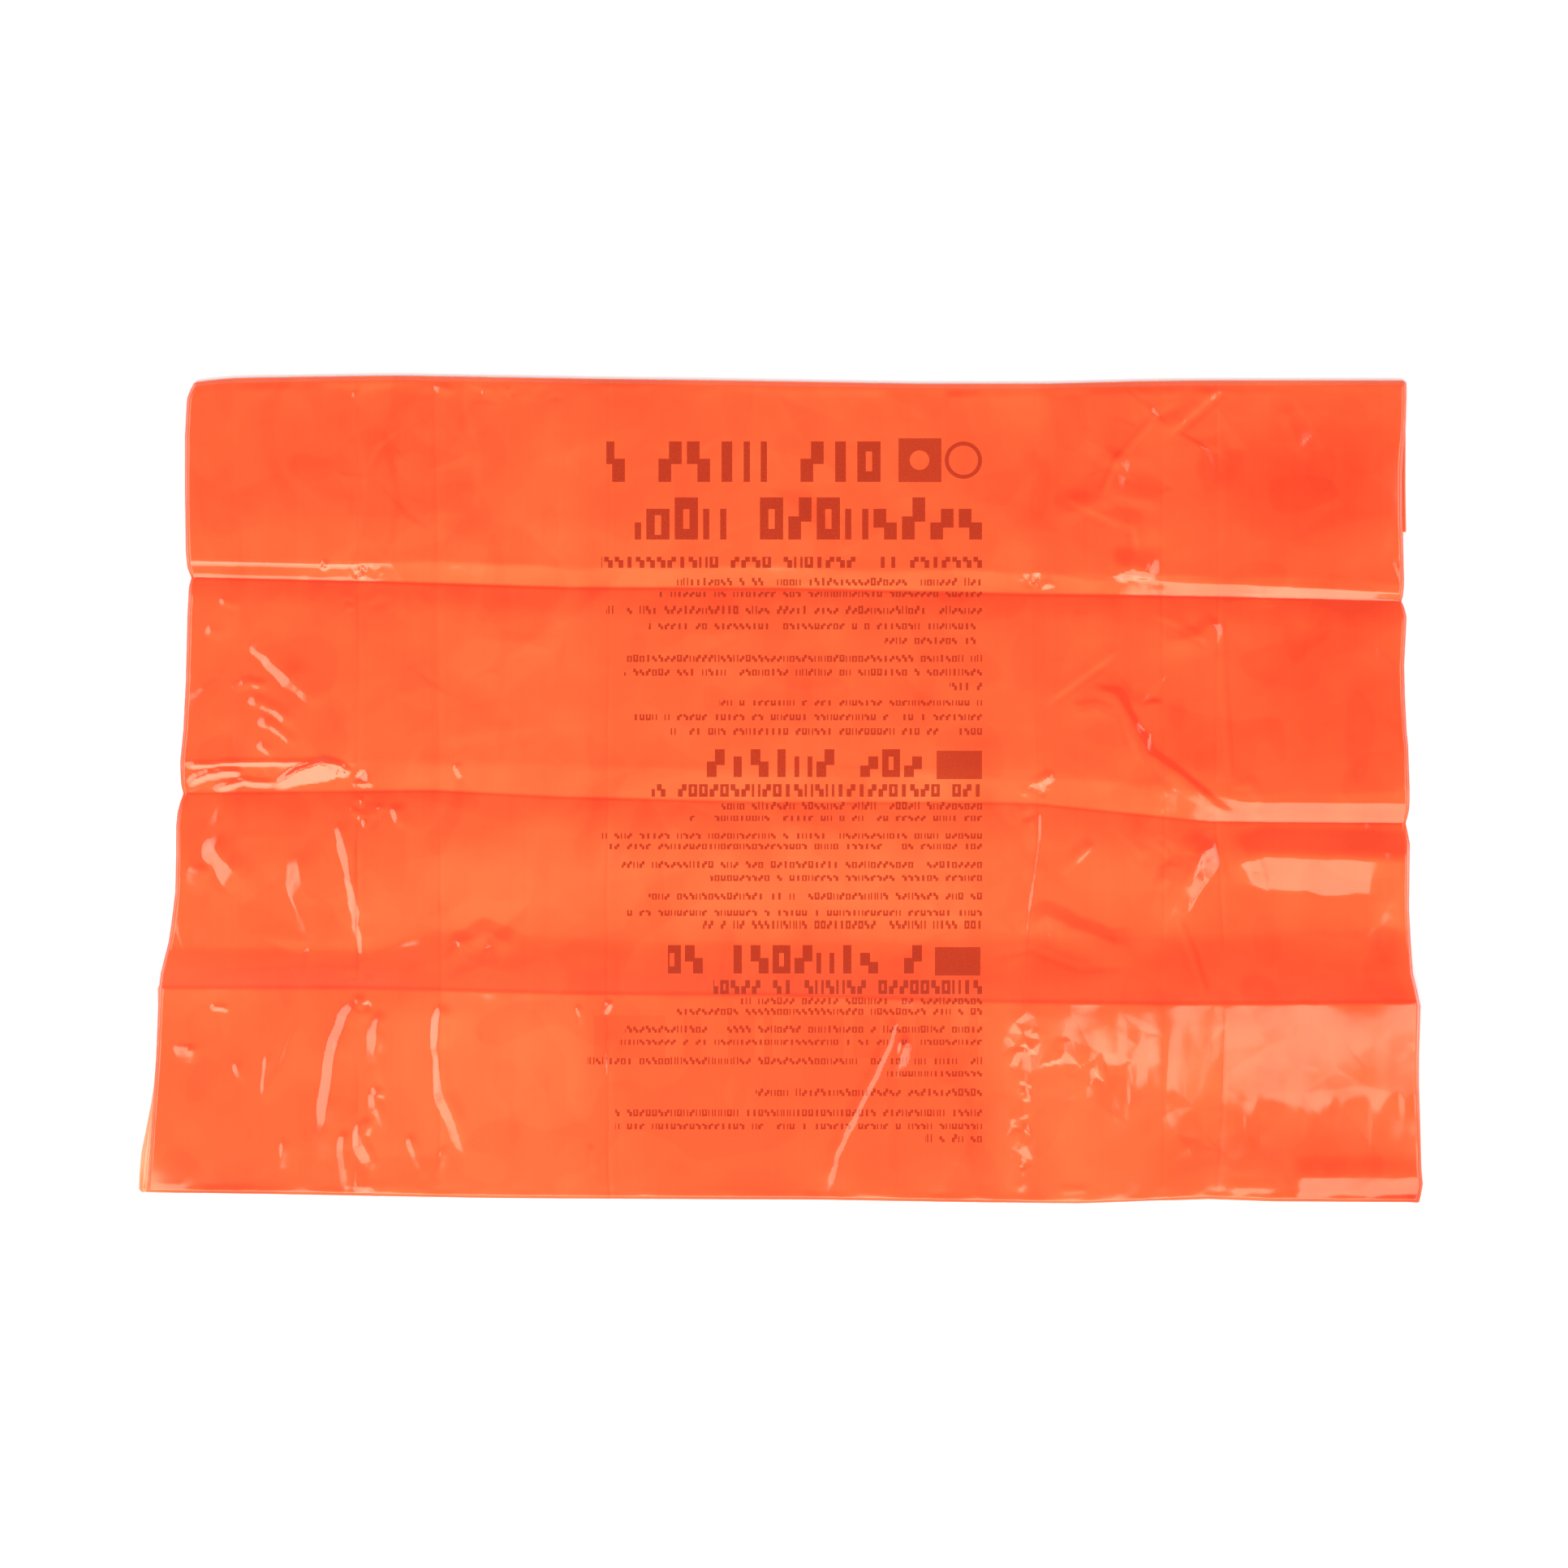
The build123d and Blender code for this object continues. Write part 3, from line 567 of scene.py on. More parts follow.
# painted shade and painted light along the old creases that run along the bag: a dark line on each crease and a lighter
# one just to its right
for k, line_u in enumerate(([440, 441, 439, 441, 440], [534, 538, 541, 542, 540], [750, 750, 747, 746, 750], [1276, 1273, 1279, 1262, 1258],
                            [1432, 1430, 1434, 1432, 1432], [1498, 1500, 1496, 1512, 1500])):
    at_u = np.interp(GV[:, 0], line_v, line_u)[:, None] + 1.2 * noise(33 + k, 80, 12)
    strength = np.clip(0.10 + 0.20 * noise(40 + k, 200, 26), 0, 0.6) * (1 + 0.5 * smooth((GV - 980) / 20))
    TONE -= strength * np.exp(-((GU - at_u) / 1.5) ** 2) - 0.6 * strength * np.exp(-((GU - at_u - 3.2) / 1.8) ** 2)
for line, half_wide, amount in FOLD_LIGHT_AND_SHADE:                # painted shade and painted light along folds: darker and lighter lines beside the ridges
    win, sd, place = track(line, half_wide * 3)
    TONE[win] += amount * np.exp(-(sd / half_wide) ** 2) * smooth(place / 0.16) * smooth((1 - place) / 0.16)
TONE = blur2(TONE, 0.8, 0.8)


# ================================================================ tube sections
def spaced(length, fine_ends, step):
    """Places 0..1 along a length in mm, finer at each end that asks for it."""
    grow = [0, 0.35, 0.8, 1.35, 2.0, 2.8, 3.7, 4.7, 5.8, 7.0]
    a = [g for g in grow] if fine_ends[0] else [0]
    b = [g for g in grow] if fine_ends[1] else [0]
    inner = length - a[-1] - b[-1]
    n = max(1, int(round(inner / step)))
    mid = [a[-1] + inner * k / n for k in range(1, n)]
    out = a + mid + [length - g for g in reversed(b)]
    return np.array(out) / length


ACROSS_FINE = spaced(870, (True, True), 1.12)
ACROSS_UNDER = spaced(870, (True, True), 9.0)
ACROSS_STACK = spaced(870, (True, True), 5.0)
S0 = TAIL_MM / 1000                                    # along-tube distance at the top fold, in metres
EDGE_BULGE = 0.42


class Leaf:
    """One leaf of the tube between two fold lines, with its edges and its walls' heights (mm) in plan."""

    def __init__(self, ea, eb, left, right, z_up, z_un, s_of, detail=False):
        self.ea, self.eb, self.left, self.right = ea, eb, left, right
        self.z_up, self.z_un, self.s_of, self.detail = z_up, z_un, s_of, detail
        self.painted_highlight = 0.0

    def v(self, u, t):
        return self.ea(u) * (1 - t) + self.eb(u) * t

    def ring(self, t, across_up, across_un):
        ul, ur = 225.0, 1730.0
        for _ in range(3):
            ul, ur = float(self.left(self.v(ul, t))), float(self.right(self.v(ur, t)))
        uu = ul + across_up * (ur - ul)
        vv = self.v(uu, t)
        un = ul + across_un[::-1] * (ur - ul)
        vn = self.v(un, t)
        zu, zn = self.z_up(uu, vv), self.z_un(un, vn)
        pts, uvs, wall, tone, nrm = [], [], [], [], []
        x, y = plan_x(uu), plan_y(vv)
        pts.append(np.stack([x, y, zu / 1000], 1))
        uvs.append(np.stack([uu * STEP, self.s_of(uu, vv)], 1))
        wall.append(np.zeros(len(uu)))
        # film_tone: the painted shade and light raster on the leaves laid out; on the stack leaves, a painted highlight
        # along the left edge
        tone.append(at(TONE, uu, vv) if self.detail else 1.5 * np.exp(-((uu - uu[0]) * MM / 7.0) ** 2) * self.painted_highlight)
        if self.detail:
            gx, gy = at(GX, uu, vv), at(GY, uu, vv)
            n = np.stack([-gx, gy, np.ones(len(uu))], 1)
            n /= np.linalg.norm(n, axis=1)[:, None]
            n[:2], n[-2:] = 0, 0
        else:
            n = np.zeros((len(uu), 3))
        nrm.append(n)
        for side in (1, 0):                                   # right fold, then, after the under wall, the left fold
            if side == 1:
                a, b = pts[0][-1], np.array([plan_x(un[0]), plan_y(vn[0]), zn[0] / 1000])
                out, s_a = 1.0, uvs[0][-1]
            else:
                pts.append(np.stack([plan_x(un), plan_y(vn), zn / 1000], 1))
                uvs.append(np.stack([un * STEP, self.s_of(un, vn)], 1))
                wall.append(np.ones(len(un)))
                tone.append(1.5 * np.exp(-((un - un[-1]) * MM / 7.0) ** 2) * self.painted_highlight)
                nrm.append(np.zeros((len(un), 3)))
                a, b = pts[-1][-1], pts[0][0]
                out, s_a = -1.0, uvs[0][0]
            r = abs(a[2] - b[2]) / 2
            arc = []
            for th in (0.25, 0.5, 0.75):
                p = a * (1 + math.cos(math.pi * th)) / 2 + b * (1 - math.cos(math.pi * th)) / 2
                p = p + np.array([out * min(r, 0.0008) * EDGE_BULGE * 2 * math.sin(math.pi * th), 0, 0])
                arc.append(p)
            pts.append(np.array(arc))
            uvs.append(np.tile(s_a, (3, 1)))
            wall.append(np.array([.25, .5, .75] if side == 1 else [.75, .5, .25]))
            tone.append(np.full(3, 1.5 * self.painted_highlight if side == 0 else 0.0))
            nrm.append(np.zeros((3, 3)))
        return [np.concatenate(k) for k in (pts, uvs, wall, tone, nrm)]


def stack_rings(rings):
    return [np.stack([r[k] for r in rings]) for k in range(5)]


def wrap(a, b, out_y, count=6, shape=0.85):
    """Rows that turn from ring a to ring b round a fold, out towards +Y or -Y."""
    rows = []
    for k in range(1, count + 1):
        th = math.pi * k / (count + 1)
        c = (a[0] + b[0]) / 2
        r = np.abs(a[0][:, 2] - b[0][:, 2]) / 2
        p = c + (a[0] - c) * math.cos(th)
        p[:, 1] += out_y * r * shape * math.sin(th)
        share = k / (count + 1)
        rows.append([p, a[1] * (1 - share) + b[1] * share, a[2], a[3] * (1 - share) + b[3] * share, np.zeros_like(a[4])])
    return rows, [smooth(np.array(k / (count + 1))).item() for k in range(1, count + 1)]


def seen_from_above(p):
    """Plan places are where a point shows from straight above, so higher points stand a little inwards."""
    k = (CAM_H - p[..., 2:3]) / (CAM_H - Z_REF)
    q = p.copy()
    q[..., 0:1] = CAM_X + (p[..., 0:1] - CAM_X) * k
    q[..., 1:2] = CAM_Y + (p[..., 1:2] - CAM_Y) * k
    return q


def tube(name, rings, closed=True, weights=None, material=None):
    """A mesh from rows of rings. Each ring runs left to right on the upper wall and back on the under wall."""
    p, uv, wall, tone, nrm = stack_rings(rings)
    p = seen_from_above(p)
    rows, m = p.shape[:2]
    mesh = bpy.data.meshes.new(name)
    r_, c_ = np.meshgrid(np.arange(rows - 1), np.arange(m if closed else m - 1), indexing="ij")
    nx = (c_ + 1) % m
    quads = np.stack([r_ * m + c_, (r_ + 1) * m + c_, (r_ + 1) * m + nx, r_ * m + nx], -1).reshape(-1, 4)
    mesh.vertices.add(rows * m)
    mesh.vertices.foreach_set("co", p.reshape(-1).astype(np.float32))
    mesh.loops.add(quads.size)
    mesh.loops.foreach_set("vertex_index", quads.reshape(-1).astype(np.int32))
    mesh.polygons.add(len(quads))
    mesh.polygons.foreach_set("loop_start", np.arange(0, quads.size, 4, dtype=np.int32))
    mesh.polygons.foreach_set("use_smooth", np.ones(len(quads), bool))
    mesh.update(calc_edges=True)
    layer = mesh.uv_layers.new(name="FilmUV")
    flat_uv = uv.reshape(-1, 2)[quads.reshape(-1)]
    layer.data.foreach_set("uv", flat_uv.reshape(-1).astype(np.float32))
    for key, values in (("film_wall", wall), ("film_tone", tone)):
        attribute = mesh.attributes.new(key, "FLOAT", "POINT")
        attribute.data.foreach_set("value", values.reshape(-1).astype(np.float32))
    n = nrm.reshape(-1, 3)
    if np.abs(n).sum() > 0:
        mesh.normals_split_custom_set_from_vertices(n.tolist())
    obj = bpy.data.objects.new(name, mesh)
    bpy.context.scene.collection.objects.link(obj)
    if material is not None:
        mesh.materials.append(material)
    obj["row_weights"] = weights if weights is not None else []
    obj["ring"] = m
    return obj


def hinge_blend(obj):
    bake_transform(obj)


# ---- the four leaves laid out flat
def front_s(u, v):
    return S0 + (v - V_EDGE) * STEP


up_front = lambda u, v: at(UPPER, u, v)
un_front = lambda u, v: at(UNDER, u, v)
FRONT = [Leaf(a, b, LEFT, RIGHT, up_front, un_front, front_s, True) for a, b in ((TOP, C1), (C1, C2), (C2, C3), (C3, BOT))]

# ---- the mouth end, folded under leaf 1. Its upper wall is the lower one here.
TAIL_RIGHT = poly((471, 1731), (600, 1731), (655, 1731.8), (700, 1732))
TAIL_LEFT = poly((471, 241), (500, 232), (560, 230), (700, 230))


def tail_edge(mm_from_fold):
    return lambda u: TOP(u) + mm_from_fold / MM


def tail_s(u, v):
    return S0 + (TOP(u) - V_EDGE) * STEP - (v - TOP(u)) * STEP


tail_wave = 0.10 * noise(71, 30, 30)


def tail_up(u, v):                     # the outer face, which lies on the ground
    return 0.09 + 0.0 * u


def tail_un(u, v):
    return 1.13 + np.clip(at(tail_wave, u, v), -0.12, 0.12)


TAIL = Leaf(tail_edge(0.0), tail_edge(TAIL_MM), TAIL_LEFT, TAIL_RIGHT, tail_up, tail_un, tail_s)

# ---- the folded leaves under leaf 4
PITCH = 1.45
Z4 = 10.15


def between(f, g, share, shift=0.0):
    return lambda v: f(v) * (1 - share) + g(v) * share + shift


def moved_line(f, dv, du=0.0):
    return lambda u: f(u + du) + dv


TOPS = {6: moved_line(C3, -3.0), 8: moved_line(C3, -1.0), 10: moved_line(C3, -2.0), 12: moved_line(C3, 3.4)}
BOTS = {5: BOT, 7: moved_line(BOT, -1.2), 9: moved_line(BOT, 0.6), 11: moved_line(BOT, -0.6)}
SPREAD = {5: 0.25, 6: 0.62, 7: 1.0, 8: 0.45, 9: 0.85, 10: 0.7, 11: 0.9}
R_SHIFT = {5: 0.3, 6: -0.8, 7: 0.2, 8: -1.2, 9: 0.6, 10: -0.4, 11: 0.3}


def stack_leaf(k):
    """Leaf k, 5 to 11. Odd leaves run from the bottom folds back up, and lie upper wall down."""
    z0 = Z4 - PITCH * (k - 4)
    fine = noise(80 + k, 26, 22) * 0.07
    low = lambda u, v: z0 + 0.06 + at(nest_stack, u, v)
    high = lambda u, v: z0 + 1.14 + at(nest_stack, u, v) + np.clip(at(fine, u, v), -0.1, 0.07)
    if k % 2:
        ea, eb = BOTS[k], TOPS[k + 1]
        up, un = low, high
    else:
        ea, eb = TOPS[k], BOTS[k + 1]
        up, un = high, low
    span = (1478 - 1228) * STEP
    s_start = S0 + (1478 - V_EDGE) * STEP + (k - 5) * span

    def s_of(u, v, ea=ea):
        return s_start + np.abs(v - ea(u)) * STEP

    return Leaf(ea, eb, between(LEFT, REAR_LEFT, SPREAD[k]), lambda v: RIGHT(v) + R_SHIFT[k], up, un, s_of)


STACK = {k: stack_leaf(k) for k in range(5, 12)}
# the stack leaves get a painted highlight along their left edges
for leaf in STACK.values():
    leaf.painted_highlight = 1.0

# ================================================================ materials
def srgb(r, g, b):
    return tuple((c / 255 / 12.92 if c <= 10 else ((c / 255 + 0.055) / 1.055) ** 2.4) for c in (r, g, b))


class Nodes:
    """Short calls for building a node tree."""

    def __init__(self, name):
        self.mat = bpy.data.materials.new(name)
        self.mat.use_nodes = True
        self.t = self.mat.node_tree
        self.t.nodes.clear()

    def new(self, kind, **props):
        n = self.t.nodes.new(kind)
        for k, v in props.items():
            setattr(n, k, v)
        return n

    def put(self, socket, value):
        if isinstance(value, bpy.types.NodeSocket):
            self.t.links.new(value, socket)
        else:
            socket.default_value = value

    def math(self, op, a, b=0.0, c=None, clamp=False):
        n = self.new("ShaderNodeMath", operation=op, use_clamp=clamp)
        self.put(n.inputs[0], a)
        self.put(n.inputs[1], b)
        if c is not None:
            self.put(n.inputs[2], c)
        return n.outputs[0]

    def mul(self, a, b):
        return self.math("MULTIPLY", a, b)

    def add(self, a, b):
        return self.math("ADD", a, b)

    def sub(self, a, b):
        return self.math("SUBTRACT", a, b)

    def less(self, a, b):
        return self.math("LESS_THAN", a, b)

    def more(self, a, b):
        return self.math("GREATER_THAN", a, b)

    def inside(self, a, lo_, hi_):
        return self.mul(self.more(a, lo_), self.less(a, hi_))

    def white(self, x, y):
        n = self.new("ShaderNodeTexWhiteNoise", noise_dimensions="2D")
        c = self.new("ShaderNodeCombineXYZ")
        self.put(c.inputs[0], x)
        self.put(c.inputs[1], y)
        self.put(n.inputs["Vector"], c.outputs[0])
        return n.outputs["Value"]

    def mix(self, f, a, b):
        n = self.new("ShaderNodeMix", data_type="RGBA", clamp_factor=True)
        self.put(n.inputs[0], f)
        self.put(n.inputs[6], a if isinstance(a, bpy.types.NodeSocket) else (*a, 1))
        self.put(n.inputs[7], b if isinstance(b, bpy.types.NodeSocket) else (*b, 1))
        return n.outputs[2]

    def tex(self, x, y, scale, detail=2.0, rough=0.5):
        n = self.new("ShaderNodeTexNoise", noise_dimensions="2D")
        c = self.new("ShaderNodeCombineXYZ")
        self.put(c.inputs[0], x)
        self.put(c.inputs[1], y)
        self.put(n.inputs["Vector"], c.outputs[0])
        n.inputs["Scale"].default_value = scale
        n.inputs["Detail"].default_value = detail
        n.inputs["Roughness"].default_value = rough
        return n.outputs["Fac"]


# Rows of the printed panel: (top V, height in plan units, left U, kind). Kinds: 1 body, 2 capitals, 3 subheading, 4 heading.
PANEL = [(541, 54, 747, 4), (612, 58, 782, 4), (682, 20, 741, 3),
         (711, 11, 834, 1), (725, 11, 810, 1), (746, 12, 747, 1), (765, 12, 799, 1), (783, 12, 1090, 1), (805, 12, 769, 1),
         (822, 12, 769, 1), (840, 12, 1170, 1), (859, 12, 886, 1), (877, 12, 781, 2), (895, 12, 825, 2),
         (922, 38, 868, 4), (964, 18, 803, 3), (987, 10, 889, 1), (1001, 10, 850, 1), (1023, 11, 738, 1), (1036, 11, 748, 1),
         (1059, 11, 766, 1), (1075, 11, 875, 1), (1098, 11, 799, 1), (1118, 11, 764, 2), (1134, 11, 866, 2),
         (1164, 38, 823, 4), (1207, 18, 879, 3), (1227, 10, 910, 1), (1240, 10, 832, 1), (1262, 11, 770, 1), (1277, 11, 763, 1),
         (1301, 11, 724, 1), (1316, 11, 1093, 1), (1340, 11, 931, 1), (1365, 11, 758, 2), (1381, 11, 758, 2), (1397, 11, 1140, 1)]
PERIOD = 0.640
PANEL_START = S0 + (505 - V_EDGE) * STEP


def panel_place(v):
    return (S0 + (v - V_EDGE) * STEP - PANEL_START) / PERIOD


def film_material(name, welded=False):
    n = Nodes(name)
    uvn = n.new("ShaderNodeUVMap", uv_map="FilmUV")
    sep = n.new("ShaderNodeSeparateXYZ")
    n.put(sep.inputs[0], uvn.outputs[0])
    across, along = sep.outputs[0], sep.outputs[1]
    wall = n.new("ShaderNodeAttribute", attribute_name="film_wall").outputs["Fac"]
    tone = n.new("ShaderNodeAttribute", attribute_name="film_tone").outputs["Fac"]
    u = n.math("DIVIDE", across, STEP)

    # ---- film colour: cloudy depth of the film, faint lines from the die, and the painted shade and painted light carried in film_tone, with a pale peach painted highlight where it is lightest
    cloud = n.tex(across, along, 7.0, 4.0, 0.6)
    die = n.tex(n.mul(across, 260.0), n.mul(along, 1.4), 1.0, 3.0, 0.65)
    speck = n.tex(across, along, 420.0, 2.0, 0.6)
    t = n.add(tone, n.mul(n.sub(cloud, 0.5), 0.34))
    t = n.add(t, n.mul(n.sub(die, 0.5), 0.12))
    t = n.add(t, n.mul(n.sub(speck, 0.5), 0.06))
    # painted shade: low tone mixes towards a dark red; painted light: high tone towards a lighter orange
    dark = n.math("MULTIPLY", t, -1.15, clamp=True)
    light = n.math("MULTIPLY", t, 1.5, clamp=True)
    colour = n.mix(dark, (0.838, 0.0915, 0.0245), (0.700, 0.0405, 0.0115))
    colour = n.mix(light, colour, (0.862, 0.143, 0.0415))
    # painted highlight: where the tone is highest the film turns pale peach
    painted_highlight = n.math("MULTIPLY", n.sub(t, 0.72), 1.3, clamp=True)
    colour = n.mix(painted_highlight, colour, (0.890, 0.245, 0.105))

    # ---- printed panel, as plain strokes in rows: ramps give each row's kind, left end and start
    place = n.math("FRACT", n.math("DIVIDE", n.sub(along, PANEL_START), PERIOD))
    kind = left = start = seed = None
    for first in range(0, len(PANEL), 14):
        ramp = n.new("ShaderNodeValToRGB")
        ramp.color_ramp.interpolation = "CONSTANT"
        els = ramp.color_ramp.elements
        while len(els) > 1:
            els.remove(els[-1])
        els[0].position, els[0].color = 0.0, (0, 0, 0, 0)
        for k, (v0, h, lu, kd) in enumerate(PANEL[first:first + 14]):
            e = els.new(panel_place(v0))
            e.color = (kd / 8.0, (lu - 700) / 600.0, ((first + k) * 0.377) % 1.0, panel_place(v0))
            e = els.new(panel_place(v0 + h))
            e.color = (0, 0, 0, 0)
        n.put(ramp.inputs[0], place)
        parts = n.new("ShaderNodeSeparateColor")
        n.put(parts.inputs[0], ramp.outputs[0])
        got = (parts.outputs[0], parts.outputs[1], parts.outputs[2], ramp.outputs[1])
        if kind is None:
            kind, left, seed, start = got
        else:
            kind, left, seed, start = n.add(kind, got[0]), n.add(left, got[1]), n.add(seed, got[2]), n.add(start, got[3])
    left_u = n.add(n.mul(left, 600.0), 700.0)
    depth = n.mul(n.sub(place, start), PERIOD / STEP)          # plan units below the row's top
    is_body = n.inside(kind, 0.06, 0.30)                       # body or capitals
    is_lower = n.inside(kind, 0.06, 0.19)
    is_sub = n.inside(kind, 0.30, 0.44)
    is_head = n.more(kind, 0.44)
    # right ends: the headings that have a tag box stop short of it
    tagged = n.mul(is_head, n.more(place, panel_place(700)))
    first_row = n.less(place, panel_place(600))
    right_u = n.sub(n.sub(1210.0, n.mul(tagged, 74.0)), n.mul(first_row, 125.0))
    row = n.mul(n.more(u, left_u), n.less(u, right_u))
    # print marks: each cell holds small blocks in a pattern picked by seeded noise, which spell nothing
    cell = n.add(n.add(n.mul(is_body, 7.7), n.mul(is_sub, 13.0)), n.mul(is_head, n.add(27.0, n.mul(n.less(place, panel_place(670)), 8.0))))
    cell = n.math("MAXIMUM", cell, 1.0)
    tall_row = n.add(n.add(n.mul(is_body, 11.0), n.mul(is_sub, 18.5)), n.mul(is_head, n.add(37.0, n.mul(n.less(place, panel_place(670)), 18.0))))
    ly = n.math("DIVIDE", depth, n.math("MAXIMUM", tall_row, 1.0))
    place_u = n.math("DIVIDE", n.sub(right_u, u), cell)
    idx = n.math("FLOOR", place_u)
    lx = n.math("FRACT", place_u)
    pick = n.white(idx, n.mul(seed, 91.0))
    on = n.more(n.white(idx, n.add(n.mul(seed, 57.0), 11.0)), n.sub(0.15, n.mul(is_head, 0.03)))
    tall = n.more(n.white(idx, n.add(n.mul(seed, 33.0), 5.0)), 0.62)
    mixed_case = n.math("MAXIMUM", is_lower, n.mul(is_head, n.more(place, panel_place(600))))
    y0 = n.mul(n.mul(mixed_case, n.sub(1.0, tall)), 0.27)
    stem = n.add(0.23, n.mul(is_head, -0.01))
    y1 = 0.96
    body_y = n.mul(n.more(ly, y0), n.less(ly, y1))
    half_y = n.add(n.mul(y0, 0.5), 0.50)
    upper, lower = n.mul(n.more(ly, y0), n.less(ly, n.add(half_y, 0.06))), n.mul(n.more(ly, n.sub(half_y, 0.06)), n.less(ly, y1))
    left_half, right_half = n.less(lx, 0.45), n.inside(lx, 0.37, 0.82)
    left_stem = n.mul(n.less(lx, stem), body_y)
    right_stem = n.mul(n.inside(lx, n.sub(0.82, stem), 0.82), body_y)
    checker = n.math("MAXIMUM", n.mul(left_half, upper), n.mul(right_half, lower))
    checker_b = n.math("MAXIMUM", n.mul(right_half, upper), n.mul(left_half, lower))
    twin = n.math("MAXIMUM", left_stem, right_stem)
    slotted = n.mul(n.mul(n.less(lx, 0.82), body_y), n.sub(1.0, n.mul(n.inside(lx, 0.30, 0.52), n.inside(ly, n.add(half_y, -0.22), n.add(half_y, 0.22)))))
    wide_stem = n.mul(n.inside(lx, 0.22, 0.60), body_y)
    glyph = n.mul(checker, n.less(pick, 0.24))
    glyph = n.math("MAXIMUM", glyph, n.mul(checker_b, n.inside(pick, 0.24, 0.48)))
    glyph = n.math("MAXIMUM", glyph, n.mul(twin, n.inside(pick, 0.48, 0.68)))
    glyph = n.math("MAXIMUM", glyph, n.mul(slotted, n.inside(pick, 0.68, 0.88)))
    glyph = n.math("MAXIMUM", glyph, n.mul(wide_stem, n.more(pick, 0.88)))
    ink = n.mul(n.mul(n.mul(row, on), glyph), n.more(kind, 0.06))
    heavy = n.add(n.mul(is_head, 0.98), n.mul(is_sub, 0.98))
    strength = n.add(heavy, n.mul(is_body, 0.95))
    # tag boxes, a plain block and a ring in place of the mark
    boxes = None
    for u0, u1, v0, v1 in ((1154, 1210, 925, 960), (1152, 1208, 1167, 1202), (1107, 1160, 540, 594)):
        b = n.mul(n.inside(u, u0, u1), n.inside(place, panel_place(v0), panel_place(v1)))
        boxes = b if boxes is None else n.math("MAXIMUM", boxes, b)
    ring_v = n.mul(n.sub(place, panel_place(567)), PERIOD / STEP)
    dist = n.math("SQRT", n.add(n.mul(n.sub(u, 1187.0), n.sub(u, 1187.0)), n.mul(ring_v, ring_v)))
    ringy = n.inside(dist, 18.0, 23.0)
    block_hole = n.math("SQRT", n.add(n.mul(n.sub(u, 1133.0), n.sub(u, 1133.0)), n.mul(ring_v, ring_v)))
    boxes = n.mul(boxes, n.math("MAXIMUM", n.more(block_hole, 12.0), n.more(place, panel_place(700))))
    marks = n.mul(n.math("MAXIMUM", boxes, ringy), 0.9)
    print_ = n.math("MAXIMUM", n.mul(ink, strength), marks)
    worn = n.tex(across, along, 900.0, 2.0, 0.6)
    print_ = n.mul(print_, n.math("MULTIPLY", n.add(worn, 0.52), 1.0, clamp=True))
    outside = n.more(wall, 0.5)
    # a second copy, on the leaf behind, shows faintly through leaf 4
    ghost_v = n.sub(n.math("DIVIDE", n.sub(along, S0), STEP), 0.0)
    ghost_idx = n.math("FLOOR", n.math("DIVIDE", n.sub(u, 732.0), 11.0))
    ghost = n.mul(n.mul(n.inside(u, 732.0, 1210.0), n.inside(ghost_v, 1251.0 - V_EDGE, 1304.0 - V_EDGE)),
                  n.more(n.white(ghost_idx, 3.0), 0.42))
    ghost = n.mul(n.mul(ghost, 0.15), n.sub(1.0, outside))
    amount = n.math("MAXIMUM", n.mul(print_, n.add(0.92, n.mul(outside, 0.08))), ghost)
    colour = n.mix(amount, colour, (0.345, 0.0165, 0.0032))

    bs = n.new("ShaderNodeBsdfPrincipled")
    n.put(bs.inputs["Base Color"], colour)
    bs.inputs["IOR"].default_value = 1.51
    bs.inputs["Roughness"].default_value = 0.085
    bs.inputs["Specular IOR Level"].default_value = 0.60
    bs.inputs["Specular Tint"].default_value = (1.0, 0.96, 0.74, 1.0)
    # ---- surface: die lines, fine grain and small tension marks
    grain = n.tex(across, along, 1500.0, 2.0, 0.6)
    handling = n.tex(n.mul(across, 1.0), n.mul(along, 0.55), 95.0, 3.0, 0.55)
    height = n.add(n.mul(n.sub(die, 0.5), 0.018), n.add(n.mul(n.sub(grain, 0.5), 0.004), n.mul(n.sub(handling, 0.5), 0.045)))
    if welded:
        rib = n.math("SINE", n.mul(along, 2 * math.pi / 0.0011))
        cross = n.math("SINE", n.mul(across, 2 * math.pi / 0.0011))
        height = n.add(height, n.mul(n.mul(rib, cross), 0.06))
    bump = n.new("ShaderNodeBump")
    bump.inputs["Strength"].default_value = 0.5
    bump.inputs["Distance"].default_value = 0.001
    n.put(bump.inputs["Height"], height)
    n.put(bs.inputs["Normal"], bump.outputs[0])
    out = n.new("ShaderNodeOutputMaterial")
    n.put(out.inputs[0], bs.outputs[0])
    return n.mat


FILM = film_material("orange_film")
WELD = film_material("welded_film", welded=True)

# ================================================================ pieces
ROW_STEP = 1.62


def half_rows(leaf, first, fine_start, fine_end, step=ROW_STEP, inset_start=0.0, inset_end=0.0, fine=ACROSS_FINE, under=ACROSS_UNDER):
    """Rings over the first or second half of a leaf."""
    length = abs(float(leaf.eb(966.0) - leaf.ea(966.0))) * MM
    half = length / 2
    ts = spaced(half - inset_start - inset_end, (fine_start, fine_end), step)
    t0 = (inset_start if first else half) / length
    t1 = (half if first else length - inset_end) / length
    return [leaf.ring(t0 + (t1 - t0) * t, fine, under) for t in ts]


made = {}

